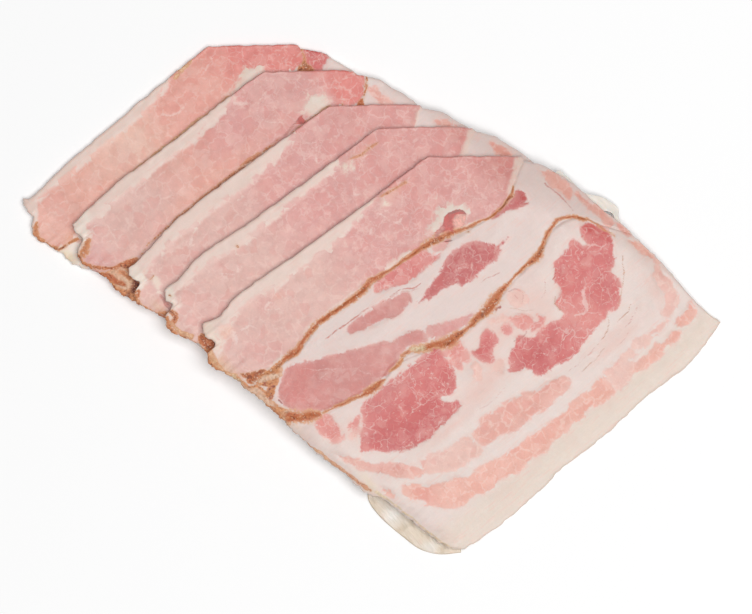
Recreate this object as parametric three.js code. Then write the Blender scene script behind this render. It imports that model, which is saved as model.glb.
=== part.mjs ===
// Sliced rolled pork belly: five thin slices fanned out one on another, as they lie in a pack.
//
// Millimetres. +X is the way the slices are fanned, +Y runs along their fat edges, +Z is up.
// slice_1 lies lowest and farthest to -X, slice_5 lies on top of the rest.
// Every slice is a cut through a rolled and pressed belly: an outer turn along its fat edge,
// an inner turn, and the thick main piece, with a crusted seam between each two of them.

import * as THREE from "three";

// ---- driving sizes ----

const SLICE_THICKNESS = 2.0;
const MEMBRANE_THICKNESS = 0.6;
const AIR_GAP = 0.3; // left between a piece and the one it lies on
const DRAPE_RUN = 16; // a slice sinks to the next level over this length past an edge under it
const PLAN_CENTRE = [1.68, -0.38]; // middle of the pile's box, in the plan's own coordinates

// The chamfered far corner, and the far edge after it, as steps from where the chamfer starts.
const CHAMFER = [20.3, 22.6];
const FAR_EDGE = [[6, 2.4], [12, 4.3], [22, 5.6], [27, 6.8], [42, 8.9], [58, 9.3], [68, 11]];
const FAR_CORNER_INSET = 3.4; // how far the far corner stands back from the right edge

// The near rim of the whole pile where the hidden near edges are drawn in behind it.
const NEAR_RIM = [[-48, -60], [-34, -56.7], [-20, -53], [-5, -50.5], [20, -45.8], [48, -41], [64, -36]];
const TUCK = 1.6; // how far a hidden near edge stays behind that rim

// Each slice: its fat edge from the near corner to the chamfer, and the near end that shows,
// with the fat's flap, the notch beside it and the browned lobe of lean.
const SLICES = [
  {
    name: "slice_1",
    fatEdge: [[-76.4, -62], [-75.3, -60.3], [-76, -50], [-76.4, -25], [-76.3, -5], [-76, 5.5]],
    nearEnd: [[-74.5, -63], [-70, -63.3], [-68, -65.4], [-65.3, -66.4], [-61, -65], [-57, -63.9], [-52, -61.3]],
    colour: 0xe3b3a1,
  },
  {
    name: "slice_2",
    fatEdge: [[-61.8, -56], [-62.4, -50], [-62.8, -40], [-61.9, -22], [-61.2, 0], [-60.4, 12.5]],
    nearEnd: [[-60, -56.8], [-56.2, -56.3], [-54.6, -59.5], [-51.2, -60.9], [-45, -59], [-38, -57.4]],
    colour: 0xe0b0a6,
  },
  {
    name: "slice_3",
    fatEdge: [[-42.1, -51.8], [-42.4, -46], [-43.9, -35], [-43.4, -15], [-42.2, 3], [-41, 20.5]],
    nearEnd: [[-40, -52.9], [-36.4, -52.2], [-35.2, -54.8], [-32, -56.1], [-28, -54.8], [-24, -52.6]],
    colour: 0xdcaca4,
  },
  {
    name: "slice_4",
    fatEdge: [[-31, -47.6], [-30.7, -42.5], [-31.9, -36], [-30.2, -18], [-28.7, 3], [-27.2, 27]],
    nearEnd: [[-28.4, -49.5], [-25.4, -49], [-24.4, -52.3], [-21, -54], [-16, -52.4], [-11, -50.3]],
    colour: 0xdbaca3,
  },
  {
    name: "slice_5",
    fatEdge: [[-16.7, -45.9], [-15.4, -41], [-16.5, -34], [-15.1, -16], [-13.6, 3], [-12.2, 32]],
    nearEnd: [
      [-14, -47.4], [-9.2, -46.9], [-8.6, -50], [-6, -51.5], [-1, -50.1], [5, -48], [20, -45.8],
      [33, -44], [40, -42.3], [48, -41.3], [52, -38.7], [60, -36.9], [70, -35], [75.5, -33.2],
    ],
    colour: 0xe2b9ad,
    onTop: true,
  },
];

// The right edge of the top slice, as steps from its far corner; the others have a plain one.
const TOP_RIGHT_EDGE = [[78.4, -30.3], [79.6, -20], [79.5, -2], [78.7, 4.5], [79.3, 20], [78.6, 36.5], [79.2, 52]];

// The two seams between the turns of the roll, on the top slice, from near to far.
// nearX and farX are where they meet the near edge and the far edge.
const SEAMS = [
  {
    nearX: 3.2,
    farX: 5.5,
    line: [[4.8, -41], [6, -31], [3.8, -19.5], [4.8, -3], [5.6, 9], [7, 18.5], [9.6, 26], [11.5, 33], [11.8, 39]],
    halfWidth: 0.75,
    depth: 0.9,
    mouth: { at: 0.03, width: 1.5, run: 0.05 },
    hollow: { at: 0.7, width: 1.4, run: 0.045 },
  },
  {
    nearX: 19.5,
    farX: 41,
    line: [[23.5, -37], [26, -27.5], [27.6, -20], [26.6, -10.5], [30.6, 2.5], [31.5, 15], [29.5, 28],
      [28.6, 38], [25.5, 47], [28, 54], [34, 57.6]],
    halfWidth: 0.85,
    depth: 0.8,
    mouth: { at: 0.03, width: 1.1, run: 0.06 },
    hollow: { at: 0.47, width: 0.7, run: 0.06 },
  },
];

// Near-end curl of each slice's fat flap, and the crags of its browned rim.
const FLAP = { inFromEdge: 4, lift: 0.9, reach: 5 };
const CRAG = { height: 0.22, outline: 0.25, run: 4 };

// Two scraps of thin, see-through membrane that show beside the top slice.
// Each is a strip between its free edge and an edge that is tucked under the slice.
const MEMBRANE_NEAR = {
  free: [[47.6, -39.6], [50.5, -42], [56, -42.6], [65, -41.2], [70.5, -39.8], [75, -36.6], [78.6, -31.6]],
  tucked: [[49.5, -37.4], [55, -35.4], [62, -33.9], [70, -32.2], [76, -29.8]],
  steps: [16, 3],
};
const MEMBRANE_FAR = {
  free: [[14.2, 55.6], [14.2, 58.3], [17.5, 59], [23.7, 59.8], [27, 62.4], [30.5, 63.9], [33.2, 64.2],
    [34.8, 62.9], [37.4, 61.6], [37.8, 59.4]],
  tucked: [[18.5, 56], [24, 57.2], [29, 57.8], [30.7, 59.4], [31.4, 61], [33.2, 61.9], [34.6, 61.1], [35, 59]],
  steps: [26, 2],
};

// How finely a slice is faceted: rows, and columns in each panel between its edges and seams.
// The covered slices show no more than their first seam.
const TOP_GRID = { panels: [11, 6, 13], rows: 24, seams: SEAMS };
const UNDER_GRID = { panels: [9, 14], rows: 21, seams: SEAMS.slice(0, 1) };

// ---- plan curves ----

function curveThrough(points) {
  const corners = points.map(([x, y]) => new THREE.Vector3(x, y, 0));
  const curve = new THREE.CatmullRomCurve3(corners, false, "centripetal");
  return (part) => {
    const place = curve.getPointAt(THREE.MathUtils.clamp(part, 0, 1));
    return [place.x, place.y];
  };
}

// The part of an edge's length at which it reaches a given x.
function partAtX(edge, x) {
  let [low, high] = [0, 1];
  for (let i = 0; i < 24; i += 1) {
    const middle = (low + high) / 2;
    if (edge(middle)[0] < x) {
      low = middle;
    } else {
      high = middle;
    }
  }
  return low;
}

function heightOnPolyline(points, x) {
  for (let i = 1; i < points.length; i += 1) {
    const [x0, y0] = points[i - 1];
    const [x1, y1] = points[i];
    if (x <= x1 || i === points.length - 1) {
      return y0 + ((y1 - y0) * (x - x0)) / (x1 - x0);
    }
  }
  return points[0][1];
}

// The hidden stretch of a near edge, from where the slices above cover it to the right edge.
function tuckedEnd(fromX, rightX) {
  const behind = (x, extra) => [x, heightOnPolyline(NEAR_RIM, x) + TUCK + extra];
  const middleX = (fromX + rightX) / 2;
  return [behind(fromX + 6, 0), behind(middleX, 0), behind(rightX - 14, 0.4), behind(rightX - 5, 2.6)];
}

function sidesOf(slice) {
  const nearCorner = slice.fatEdge[0];
  const chamferStart = slice.fatEdge.at(-1);
  const chamferEnd = [chamferStart[0] + CHAMFER[0], chamferStart[1] + CHAMFER[1]];
  const far = [chamferStart, chamferEnd];
  for (const [dx, dy] of FAR_EDGE) {
    far.push([chamferEnd[0] + dx, chamferEnd[1] + dy]);
  }
  const farCorner = far.at(-1);
  const rightX = farCorner[0] + FAR_CORNER_INSET;
  const near = [nearCorner, ...slice.nearEnd];
  let right;
  if (slice.onTop) {
    right = [...TOP_RIGHT_EDGE, farCorner];
    near.push(right[0]);
  } else {
    near.push(...tuckedEnd(slice.nearEnd.at(-1)[0], rightX));
    const corner = [rightX - 0.8, near.at(-1)[1] + 4];
    near.push(corner);
    right = [corner, [rightX, corner[1] + 14], [rightX - 0.4, farCorner[1] - 30], [rightX, farCorner[1] - 8], farCorner];
  }
  return {
    near: curveThrough(near),
    far: curveThrough(far),
    left: curveThrough(slice.fatEdge),
    right: curveThrough(right),
  };
}

// Carries a point of the top slice's pattern over to another slice, along that slice's fat edge.
function carrier(slice) {
  const top = SLICES.at(-1);
  const [topNear, topFar] = [top.fatEdge[0], top.fatEdge.at(-1)];
  const [near, far] = [slice.fatEdge[0], slice.fatEdge.at(-1)];
  const stretch = (far[1] - near[1]) / (topFar[1] - topNear[1]);
  return ([x, y]) => {
    const along = (y - topNear[1]) / (topFar[1] - topNear[1]);
    const shiftX = THREE.MathUtils.lerp(near[0] - topNear[0], far[0] - topFar[0], along);
    return [x + shiftX, near[1] + (y - topNear[1]) * stretch];
  };
}

// ---- a slice's plan grid: its fat edge, seams and right edge, with a panel between each two ----

function coonsPatch(left, right, near, far) {
  const blend = (a, b, t) => [a[0] + (b[0] - a[0]) * t, a[1] + (b[1] - a[1]) * t];
  return (s, t) => {
    const across = blend(left(t), right(t), s);
    const along = blend(near(s), far(s), t);
    const corners = blend(blend(near(0), near(1), s), blend(far(0), far(1), s), t);
    return [across[0] + along[0] - corners[0], across[1] + along[1] - corners[1]];
  };
}

function bump(t, { at, width, run }) {
  return width * Math.exp(-(((t - at) / run) ** 2));
}

function seamSpine(seam, sides, carry, cuts) {
  const ends = [sides.near(cuts.near), sides.far(cuts.far)];
  const middle = curveThrough([ends[0], ...seam.line.map(carry), ends[1]]);
  const halfWidth = (t) => seam.halfWidth + bump(t, seam.mouth) + bump(t, seam.hollow);
  const beside = (sign) => (t) => [middle(t)[0] + sign * halfWidth(t), middle(t)[1]];
  return { middle, leftLip: beside(-1), rightLip: beside(1), deepen: (t) => bump(t, seam.hollow) };
}

// Every column of the grid: where it runs in plan and how deep the seam is cut there.
function columnsOf(slice, grid) {
  const sides = sidesOf(slice);
  const carry = carrier(slice);
  const seamCuts = grid.seams.map(({ nearX, farX }) => ({
    near: partAtX(sides.near, carry([nearX, slice.nearEnd[0][1]])[0]),
    far: partAtX(sides.far, carry([farX, 52])[0]),
  }));
  const spines = grid.seams.map((seam, i) => seamSpine(seam, sides, carry, seamCuts[i]));
  const lips = [sides.left, ...spines.flatMap((spine) => [spine.leftLip, spine.rightLip]), sides.right];
  const cuts = [{ near: 0, far: 0 }, ...seamCuts, { near: 1, far: 1 }];
  const columns = [];
  grid.panels.forEach((count, panel) => {
    const [left, right] = [lips[2 * panel], lips[2 * panel + 1]];
    const [from, to] = [cuts[panel], cuts[panel + 1]];
    const near = edgeBetween(sides.near, from.near, to.near, left(0), right(0));
    const far = edgeBetween(sides.far, from.far, to.far, left(1), right(1));
    const patch = coonsPatch(left, right, near, far);
    for (let i = 0; i <= count; i += 1) {
      columns.push({ place: (t) => patch(i / count, t), cut: () => 0 });
    }
    if (panel < grid.seams.length) {
      const seam = grid.seams[panel];
      const spine = spines[panel];
      columns.push({ place: spine.middle, cut: (t) => seam.depth * (1 + 0.35 * spine.deepen(t)) });
    }
  });
  return columns;
}

// A stretch of an edge, pulled so that it starts and ends exactly at two given places.
function edgeBetween(edge, from, to, start, end) {
  return (s) => {
    const place = edge(from + (to - from) * s);
    const [first, last] = [edge(from), edge(to)];
    const pullX = (start[0] - first[0]) * (1 - s) + (end[0] - last[0]) * s;
    const pullY = (start[1] - first[1]) * (1 - s) + (end[1] - last[1]) * s;
    return [place[0] + pullX, place[1] + pullY];
  };
}

// ---- how the pieces lie on each other ----

function outlineOf(sides) {
  const outline = [];
  const stepsEach = { near: 70, right: 24, far: 40, left: 24 };
  const walk = (side, steps, backwards) => {
    for (let i = 0; i < steps; i += 1) {
      outline.push(side(backwards ? 1 - i / steps : i / steps));
    }
  };
  walk(sides.near, stepsEach.near, false);
  walk(sides.right, stepsEach.right, false);
  walk(sides.far, stepsEach.far, true);
  walk(sides.left, stepsEach.left, true);
  return outline;
}

// Distance from a place to an outline, 0 anywhere inside it.
function distanceOutside(outline, [x, y]) {
  let inside = false;
  let nearest = Infinity;
  outline.forEach(([bx, by], i) => {
    const [ax, ay] = outline.at(i - 1);
    if (by > y !== ay > y && x < bx + ((ax - bx) * (y - by)) / (ay - by)) {
      inside = !inside;
    }
    const [ex, ey] = [bx - ax, by - ay];
    const along = THREE.MathUtils.clamp(((x - ax) * ex + (y - ay) * ey) / (ex * ex + ey * ey || 1), 0, 1);
    nearest = Math.min(nearest, Math.hypot(x - ax - ex * along, y - ay - ey * along));
  });
  return inside ? 0 : nearest;
}

// The level of whatever lies on the pieces in the list: each one lifts it by its own thickness.
function levelOver(piecesUnder, place) {
  let level = 0;
  for (const piece of piecesUnder) {
    const away = Math.min(distanceOutside(piece.outline, place) / DRAPE_RUN, 1);
    level += (piece.thickness + AIR_GAP) * 0.5 * (1 + Math.cos(Math.PI * away));
  }
  return level;
}

// ---- a thin closed solid over a grid of places ----

function thinSolid(grid) {
  const rows = grid.length;
  const width = grid[0].length;
  const positions = [];
  for (const face of ["top", "base"]) {
    for (const row of grid) {
      for (const { place, [face]: z } of row) {
        positions.push(place[0] - PLAN_CENTRE[0], place[1] - PLAN_CENTRE[1], z);
      }
    }
  }
  const over = (row, column) => row * width + column;
  const under = (row, column) => rows * width + over(row, column);
  const indices = [];
  for (let row = 0; row < rows - 1; row += 1) {
    for (let column = 0; column < width - 1; column += 1) {
      const cell = [[row, column], [row, column + 1], [row + 1, column + 1], [row + 1, column]];
      const [a, b, c, d] = cell.map((corner) => over(...corner));
      const [e, f, g, h] = cell.map((corner) => under(...corner));
      indices.push(a, b, c, a, c, d, e, g, f, e, h, g);
    }
  }
  const wall = (from, to) => {
    const [a, b] = [over(...from), over(...to)];
    const [c, d] = [under(...from), under(...to)];
    indices.push(a, c, d, a, d, b);
  };
  for (let column = 0; column < width - 1; column += 1) {
    wall([0, column], [0, column + 1]);
    wall([rows - 1, column + 1], [rows - 1, column]);
  }
  for (let row = 0; row < rows - 1; row += 1) {
    wall([row, width - 1], [row + 1, width - 1]);
    wall([row + 1, 0], [row, 0]);
  }
  const geometry = new THREE.BufferGeometry();
  geometry.setAttribute("position", new THREE.Float32BufferAttribute(positions, 3));
  geometry.setIndex(indices);
  geometry.computeVertexNormals();
  return geometry;
}

// ---- the pieces ----

// Small, uneven up-and-down of the browned rim, the same at every build.
function cragAt(x, seed) {
  return 0.6 * Math.sin(2.3 * x + 1.7 * seed) + 0.4 * Math.sin(4.9 * x + 2.9 * seed);
}

function sliceGeometry(slice, number, piecesUnder) {
  const grid = slice.onTop ? TOP_GRID : UNDER_GRID;
  const columns = columnsOf(slice, grid);
  const flapMiddle = [slice.fatEdge[0][0] + FLAP.inFromEdge, slice.fatEdge[0][1] - 1];
  const rows = [];
  for (let j = 0; j <= grid.rows; j += 1) {
    // Rows stand closer together at the near end, where the crags and the flap are.
    const t = (j / grid.rows) ** 1.15;
    const row = columns.map(({ place: along, cut }) => {
      const place = along(t);
      const rim = Math.exp(-(t * 100) / CRAG.run);
      const crag = cragAt(place[0], number) * rim;
      place[1] += CRAG.outline * crag;
      const awayFromFlap = Math.hypot(place[0] - flapMiddle[0], place[1] - flapMiddle[1]);
      const curl = FLAP.lift * Math.exp(-((awayFromFlap / FLAP.reach) ** 2));
      const base = levelOver(piecesUnder, place) + curl;
      const top = base + SLICE_THICKNESS - CRAG.height * Math.abs(crag) - cut(t);
      return { place, base, top };
    });
    rows.push(row);
  }
  return thinSolid(rows);
}

function membraneGeometry({ free, tucked, steps }, piecesUnder) {
  const [freeEdge, tuckedEdge] = [curveThrough(free), curveThrough(tucked)];
  const [along, across] = steps;
  const rows = [];
  for (let j = 0; j <= across; j += 1) {
    const row = [];
    for (let i = 0; i <= along; i += 1) {
      const [a, b] = [freeEdge(i / along), tuckedEdge(i / along)];
      const t = j / across;
      const place = [a[0] + (b[0] - a[0]) * t, a[1] + (b[1] - a[1]) * t];
      const base = levelOver(piecesUnder, place);
      row.push({ place, base, top: base + MEMBRANE_THICKNESS });
    }
    rows.push(row);
  }
  return thinSolid(rows);
}

function membraneOutline({ free, tucked }) {
  return outlineOf({
    near: curveThrough(free),
    far: curveThrough(tucked),
    right: curveThrough([free.at(-1), tucked.at(-1)]),
    left: curveThrough([free[0], tucked[0]]),
  });
}

function pieceMesh(name, geometry, colour, roughness) {
  const material = new THREE.MeshStandardMaterial({ color: colour, roughness, metalness: 0 });
  const mesh = new THREE.Mesh(geometry, material);
  mesh.name = name;
  return mesh;
}

const pile = new THREE.Group();
const laid = [];

function lay(name, geometry, outline, thickness, colour, roughness) {
  pile.add(pieceMesh(name, geometry, colour, roughness));
  laid.push({ outline, thickness });
}

// The far strip's outer side is its far side, so its two edges change places.
const farStrip = { free: MEMBRANE_FAR.tucked, tucked: MEMBRANE_FAR.free, steps: MEMBRANE_FAR.steps };

lay("membrane_near", membraneGeometry(MEMBRANE_NEAR, laid), membraneOutline(MEMBRANE_NEAR),
  MEMBRANE_THICKNESS, 0xded7cb, 0.35);
SLICES.forEach((slice, index) => {
  if (slice.onTop) {
    lay("membrane_far", membraneGeometry(farStrip, laid), membraneOutline(farStrip),
      MEMBRANE_THICKNESS, 0xded7cb, 0.35);
  }
  const geometry = sliceGeometry(slice, index + 1, laid);
  lay(slice.name, geometry, outlineOf(sidesOf(slice)), SLICE_THICKNESS, slice.colour, 0.45);
});

export default pile;
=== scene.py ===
"""Sliced rolled pork belly: the look of the five fanned slices and their scraps of membrane.

Plan places below are millimetres in the pile's own plan: +x the way the slices are fanned, +y along
their fat edges. The frame's origin is at PLAN_CENTRE of that plan, and the meshes are in metres.
Colours are sRGB, 0 to 255.
"""

import math
from functools import partial

import bpy
import numpy as np
from bpy.props import FloatProperty, FloatVectorProperty, IntProperty, PointerProperty
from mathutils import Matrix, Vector


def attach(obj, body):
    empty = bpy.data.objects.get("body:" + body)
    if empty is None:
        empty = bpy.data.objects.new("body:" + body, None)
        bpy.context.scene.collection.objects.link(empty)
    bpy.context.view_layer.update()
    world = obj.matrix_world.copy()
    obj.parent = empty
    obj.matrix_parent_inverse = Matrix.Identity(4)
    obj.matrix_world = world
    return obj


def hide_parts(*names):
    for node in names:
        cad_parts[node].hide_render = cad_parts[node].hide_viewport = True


bl_info = {
    "name": "Sliced Rolled Pork Belly",
    "version": (1, 0, 0),
    "blender": (4, 5, 0),
    "location": "3D View > Sidebar > Pork Belly",
    "description": "Lays out thin, fanned slices of rolled pork belly with browned seams",
    "category": "Add Mesh",
}

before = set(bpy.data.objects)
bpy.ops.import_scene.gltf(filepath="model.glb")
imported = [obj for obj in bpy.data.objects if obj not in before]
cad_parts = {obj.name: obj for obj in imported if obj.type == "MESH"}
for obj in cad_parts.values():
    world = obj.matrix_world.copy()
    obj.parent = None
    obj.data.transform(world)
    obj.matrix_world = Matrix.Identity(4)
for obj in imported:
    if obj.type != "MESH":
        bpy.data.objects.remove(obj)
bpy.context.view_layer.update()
MM = 0.001

# ---- the pile's sizes, outlines and relief, in millimetres ----

PLAN_CENTRE = np.array([1.68, -0.38])
MEMBRANE_THICKNESS = 0.6
CHAMFER = (20.3, 22.6)
FAR_EDGE = [(6, 2.4), (12, 4.3), (22, 5.6), (27, 6.8), (42, 8.9), (58, 9.3), (68, 11)]
FAR_CORNER_INSET = 3.4
NEAR_RIM = [(-48, -60), (-34, -56.7), (-20, -53), (-5, -50.5), (20, -45.8), (48, -41), (64, -36)]
TUCK = 1.6  # how far behind the pile's near rim a covered near edge runs
# That edge's places: how far past its start, and, as (back, further behind), before its end.
TUCKED_START = 6
TUCKED_END = [(14, 0.4), (5, 2.6)]
# A covered slice's right edge, as (in from it, up or down): its near corner, and places from the corners.
COVERED_CORNER = (0.8, 4)
COVERED_RIGHT_NEAR = [(0, 14)]
COVERED_RIGHT_FAR = [(0.4, 30), (0, 8)]
FAT_EDGES = {
    1: [(-76.4, -62), (-75.3, -60.3), (-76, -50), (-76.4, -25), (-76.3, -5), (-76, 5.5)],
    2: [(-61.8, -56), (-62.4, -50), (-62.8, -40), (-61.9, -22), (-61.2, 0), (-60.4, 12.5)],
    3: [(-42.1, -51.8), (-42.4, -46), (-43.9, -35), (-43.4, -15), (-42.2, 3), (-41, 20.5)],
    4: [(-31, -47.6), (-30.7, -42.5), (-31.9, -36), (-30.2, -18), (-28.7, 3), (-27.2, 27)],
    5: [(-16.7, -45.9), (-15.4, -41), (-16.5, -34), (-15.1, -16), (-13.6, 3), (-12.2, 32)],
}
NEAR_ENDS = {
    1: [(-74.5, -63), (-70, -63.3), (-68, -65.4), (-65.3, -66.4), (-61, -65), (-57, -63.9), (-52, -61.3)],
    2: [(-60, -56.8), (-56.2, -56.3), (-54.6, -59.5), (-51.2, -60.9), (-45, -59), (-38, -57.4)],
    3: [(-40, -52.9), (-36.4, -52.2), (-35.2, -54.8), (-32, -56.1), (-28, -54.8), (-24, -52.6)],
    4: [(-28.4, -49.5), (-25.4, -49), (-24.4, -52.3), (-21, -54), (-16, -52.4), (-11, -50.3)],
    5: [
        (-14, -47.4), (-9.2, -46.9), (-8.6, -50), (-6, -51.5), (-1, -50.1), (5, -48), (20, -45.8), (33, -44),
        (40, -42.3), (48, -41.3), (52, -38.7), (60, -36.9), (70, -35), (75.5, -33.2)],
}
TOP = 5
TOP_RIGHT_EDGE = [(78.4, -30.3), (79.6, -20), (79.5, -2), (78.7, 4.5), (79.3, 20), (78.6, 36.5),
                  (79.2, 52)]
SEAM_FAR_Y = 52  # about where the seams run out over the far edge
# A seam's mouth and hollow widen it by a bump of (part of its length, extra half width, run).
SEAMS = [
    {
        "near_x": 3.2,
        "far_x": 5.5,
        "line": [(4.8, -41), (6, -31), (3.8, -19.5), (4.8, -3), (5.6, 9), (7, 18.5), (9.6, 26),
                 (11.5, 33), (11.8, 39)],
        "half_width": 0.75,
        "depth": 0.9,
        "mouth": (0.03, 1.5, 0.05),
        "hollow": (0.7, 1.4, 0.045),
    },
    {
        "near_x": 19.5,
        "far_x": 41,
        "line": [(23.5, -37), (26, -27.5), (27.6, -20), (26.6, -10.5), (30.6, 2.5), (31.5, 15),
                 (29.5, 28), (28.6, 38), (25.5, 47), (28, 54), (34, 57.6)],
        "half_width": 0.85,
        "depth": 0.8,
        "mouth": (0.03, 1.1, 0.06),
        "hollow": (0.47, 0.7, 0.06),
    },
]
HOLLOW_DEEPENS = 0.35
SEAM_COLUMNS = 7
SEAM_POWER = 1.5  # how narrow a seam's bottom is
# A grid's panels between the seams as (width, first step, last step), and its length and step.
PANELS_OF_TOP = [(20.5, 0.36, 0.36), (20, 0.36, 0.36), (50, 0.4, 0.42)]
PANELS_UNDER = [(20.5, 0.42, 0.42), (70, 0.42, 3.2)]
ROWS_OF_TOP = (96, 0.36)
ROWS_UNDER = (85, 0.42)
RIM_RINGS = [0.0, 0.1, 0.24, 0.42]
RIM_MARGIN = 0.6
SLICE_LENGTH = 100
# The lifted near left corner of a slice.
FLAP = {"in_from_edge": 4, "out_from_end": 1, "lift": 0.9, "reach": 5}
# The crags of the near ends, and their two waves as (share, pace, turn from slice to slice).
CRAG = {"height": 0.22, "outline": 0.25, "run": 4}
CRAG_WAVES = [(0.6, 2.3, 1.7), (0.4, 4.9, 2.9)]
# Small nicks all round a slice: how far they reach, how far in they fade, and their size.
FRAY = {"reach": 0.22, "run": 0.7, "cell": 1.5, "seeds": (70, 90)}
# How much of a seam's cut shows in the dressed slice, how that varies, and where a covered one runs out.
GROOVE = {"share": 0.32, "sway": 0.2, "cell": 1.3, "seed": 5, "fade": (0.8, 0.9)}
# Relief as layers of noise: (height, cell, seed).
LUMPS = [(0.06, 6, 7), (0.035, 2.1, 9)]
CRUMBLES = [(0.1, 0.8, 11)]
CRUMBLE_SINK = 0.06
UNDER_ROUNDING = 0.6  # the radius under a slice's rim, as a share of the radius over it
SLICE_BASE_STEP = 6
# A membrane's grid, its folds, the run and radii of its rim, and how the thin places vary.
MEMBRANE = {"columns": 140, "width": 5, "step": 0.3, "base_step": 4, "fold_run": 0.8, "rim": 0.24,
            "under_rim": 0.16}
FOLDS = [(0.07, 3.2, 13), (0.04, 1.1, 15)]
THINNING = [(0.25, 2, 17)]
MEMBRANE_NEAR = {
    "free": [(47.6, -39.6), (50.5, -42), (56, -42.6), (65, -41.2), (70.5, -39.8), (75, -36.6),
             (78.6, -31.6)],
    "tucked": [(49.5, -37.4), (55, -35.4), (62, -33.9), (70, -32.2), (76, -29.8)],
}
MEMBRANE_FAR = {
    "free": [(14.2, 55.6), (14.2, 58.3), (17.5, 59), (23.7, 59.8), (27, 62.4), (30.5, 63.9), (33.2, 64.2),
             (34.8, 62.9), (37.4, 61.6), (37.8, 59.4)],
    "tucked": [(18.5, 56), (24, 57.2), (29, 57.8), (30.7, 59.4), (31.4, 61), (33.2, 61.9), (34.6, 61.1),
               (35, 59)],
}


# ---- plan curves and edges ----


class PlanCurve:
    """A smooth curve through plan points (centripetal Catmull-Rom), walked by its own length."""

    STEPS = 200

    def __init__(self, points):
        through = np.asarray(points, float)
        before = 2 * through[0] - through[1]
        after = 2 * through[-1] - through[-2]
        self.knots = np.vstack([before, through, after])
        self.spans = len(through) - 1
        self.parts = np.linspace(0, 1, self.STEPS + 1)
        steps = np.diff(self.between_knots(self.parts), axis=0)
        self.lengths = np.concatenate([[0], np.cumsum(np.hypot(*steps.T))])

    def between_knots(self, part):
        place = np.clip(part, 0, 1) * self.spans
        span = np.minimum(place.astype(int), self.spans - 1)
        w = (place - span)[:, None]
        a, b, c, d = (self.knots[span + k] for k in range(4))
        pairs = ((a, b), (b, c), (c, d))
        ab, bc, cd = (np.sqrt(np.linalg.norm(q - p, axis=1))[:, None] for p, q in pairs)
        start = ((b - a) / ab - (c - a) / (ab + bc) + (c - b) / bc) * bc
        end = ((c - b) / bc - (d - b) / (bc + cd) + (d - c) / cd) * bc
        square = (3 * (c - b) - 2 * start - end) * w**2
        return b + start * w + square + (2 * (b - c) + start + end) * w**3

    def __call__(self, part):
        along = np.clip(np.atleast_1d(part), 0, 1) * self.lengths[-1]
        return self.between_knots(np.interp(along, self.lengths, self.parts))

    def part_at_x(self, x):
        """The part of the length at which the curve reaches x, which grows along it."""
        low, high = 0.0, 1.0
        for _ in range(24):
            middle = (low + high) / 2
            if self(middle)[0, 0] < x:
                low = middle
            else:
                high = middle
        return low


def tucked_end(from_x, right_x):
    """The hidden stretch of a near edge, drawn in behind the pile's near rim."""
    rim_x, rim_y = np.transpose(NEAR_RIM)
    stops = [(from_x + TUCKED_START, 0), ((from_x + right_x) / 2, 0)]
    stops += [(right_x - back, extra) for back, extra in TUCKED_END]
    return [(x, float(np.interp(x, rim_x, rim_y)) + TUCK + extra) for x, extra in stops]


def sides_of(number):
    """The four edges of a slice as plan curves."""
    fat_edge = FAT_EDGES[number]
    chamfer_x, chamfer_y = fat_edge[-1][0] + CHAMFER[0], fat_edge[-1][1] + CHAMFER[1]
    far = [fat_edge[-1], (chamfer_x, chamfer_y)]
    far += [(chamfer_x + dx, chamfer_y + dy) for dx, dy in FAR_EDGE]
    right_x = far[-1][0] + FAR_CORNER_INSET
    near = [fat_edge[0], *NEAR_ENDS[number]]
    if number == TOP:
        right = [*TOP_RIGHT_EDGE, far[-1]]
        near.append(right[0])
    else:
        near += tucked_end(near[-1][0], right_x)
        corner = (right_x - COVERED_CORNER[0], near[-1][1] + COVERED_CORNER[1])
        near.append(corner)
        right = [corner, *((right_x - inset, corner[1] + up) for inset, up in COVERED_RIGHT_NEAR)]
        right += [(right_x - inset, far[-1][1] - down) for inset, down in COVERED_RIGHT_FAR]
        right.append(far[-1])
    edges = {"near": near, "far": far, "left": fat_edge, "right": right}
    return {side: PlanCurve(points) for side, points in edges.items()}


def along_fat_edge(number, y):
    """The part of a slice's fat edge at which it reaches y."""
    near_y, far_y = FAT_EDGES[number][0][1], FAT_EDGES[number][-1][1]
    return (y - near_y) / (far_y - near_y)


def y_of_fat_edge(number, along):
    near_y, far_y = FAT_EDGES[number][0][1], FAT_EDGES[number][-1][1]
    return near_y + along * (far_y - near_y)


def fanned(number, along):
    """How far in x a slice lies from the top slice, at a part of its fat edge."""
    near_shift, far_shift = (FAT_EDGES[number][end][0] - FAT_EDGES[TOP][end][0] for end in (0, -1))
    return near_shift * (1 - along) + far_shift * along


def carry(number, points):
    """Carries places of the top slice's pattern over to another slice, along its fat edge."""
    x, y = np.transpose(np.asarray(points, float))
    along = along_fat_edge(TOP, y)
    return np.column_stack([x + fanned(number, along), y_of_fat_edge(number, along)])


def carried_back(number, x, y):
    """The place of the top slice's pattern that lies at a place of another slice."""
    along = along_fat_edge(number, y)
    return x - fanned(number, along), y_of_fat_edge(TOP, along)


def bump(part, at, width, run):
    return width * np.exp(-(((part - at) / run) ** 2))


def outline_of(sides):
    """The outline of a piece as a ring of places, as coarse as its solid's."""
    walks = [("near", 70, False), ("right", 24, False), ("far", 40, True), ("left", 24, True)]
    ring = []
    for side, steps, backwards in walks:
        parts = np.arange(steps) / steps
        ring.append(sides[side](1 - parts if backwards else parts))
    return np.vstack(ring)


# ---- distances, in plan ----


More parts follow.
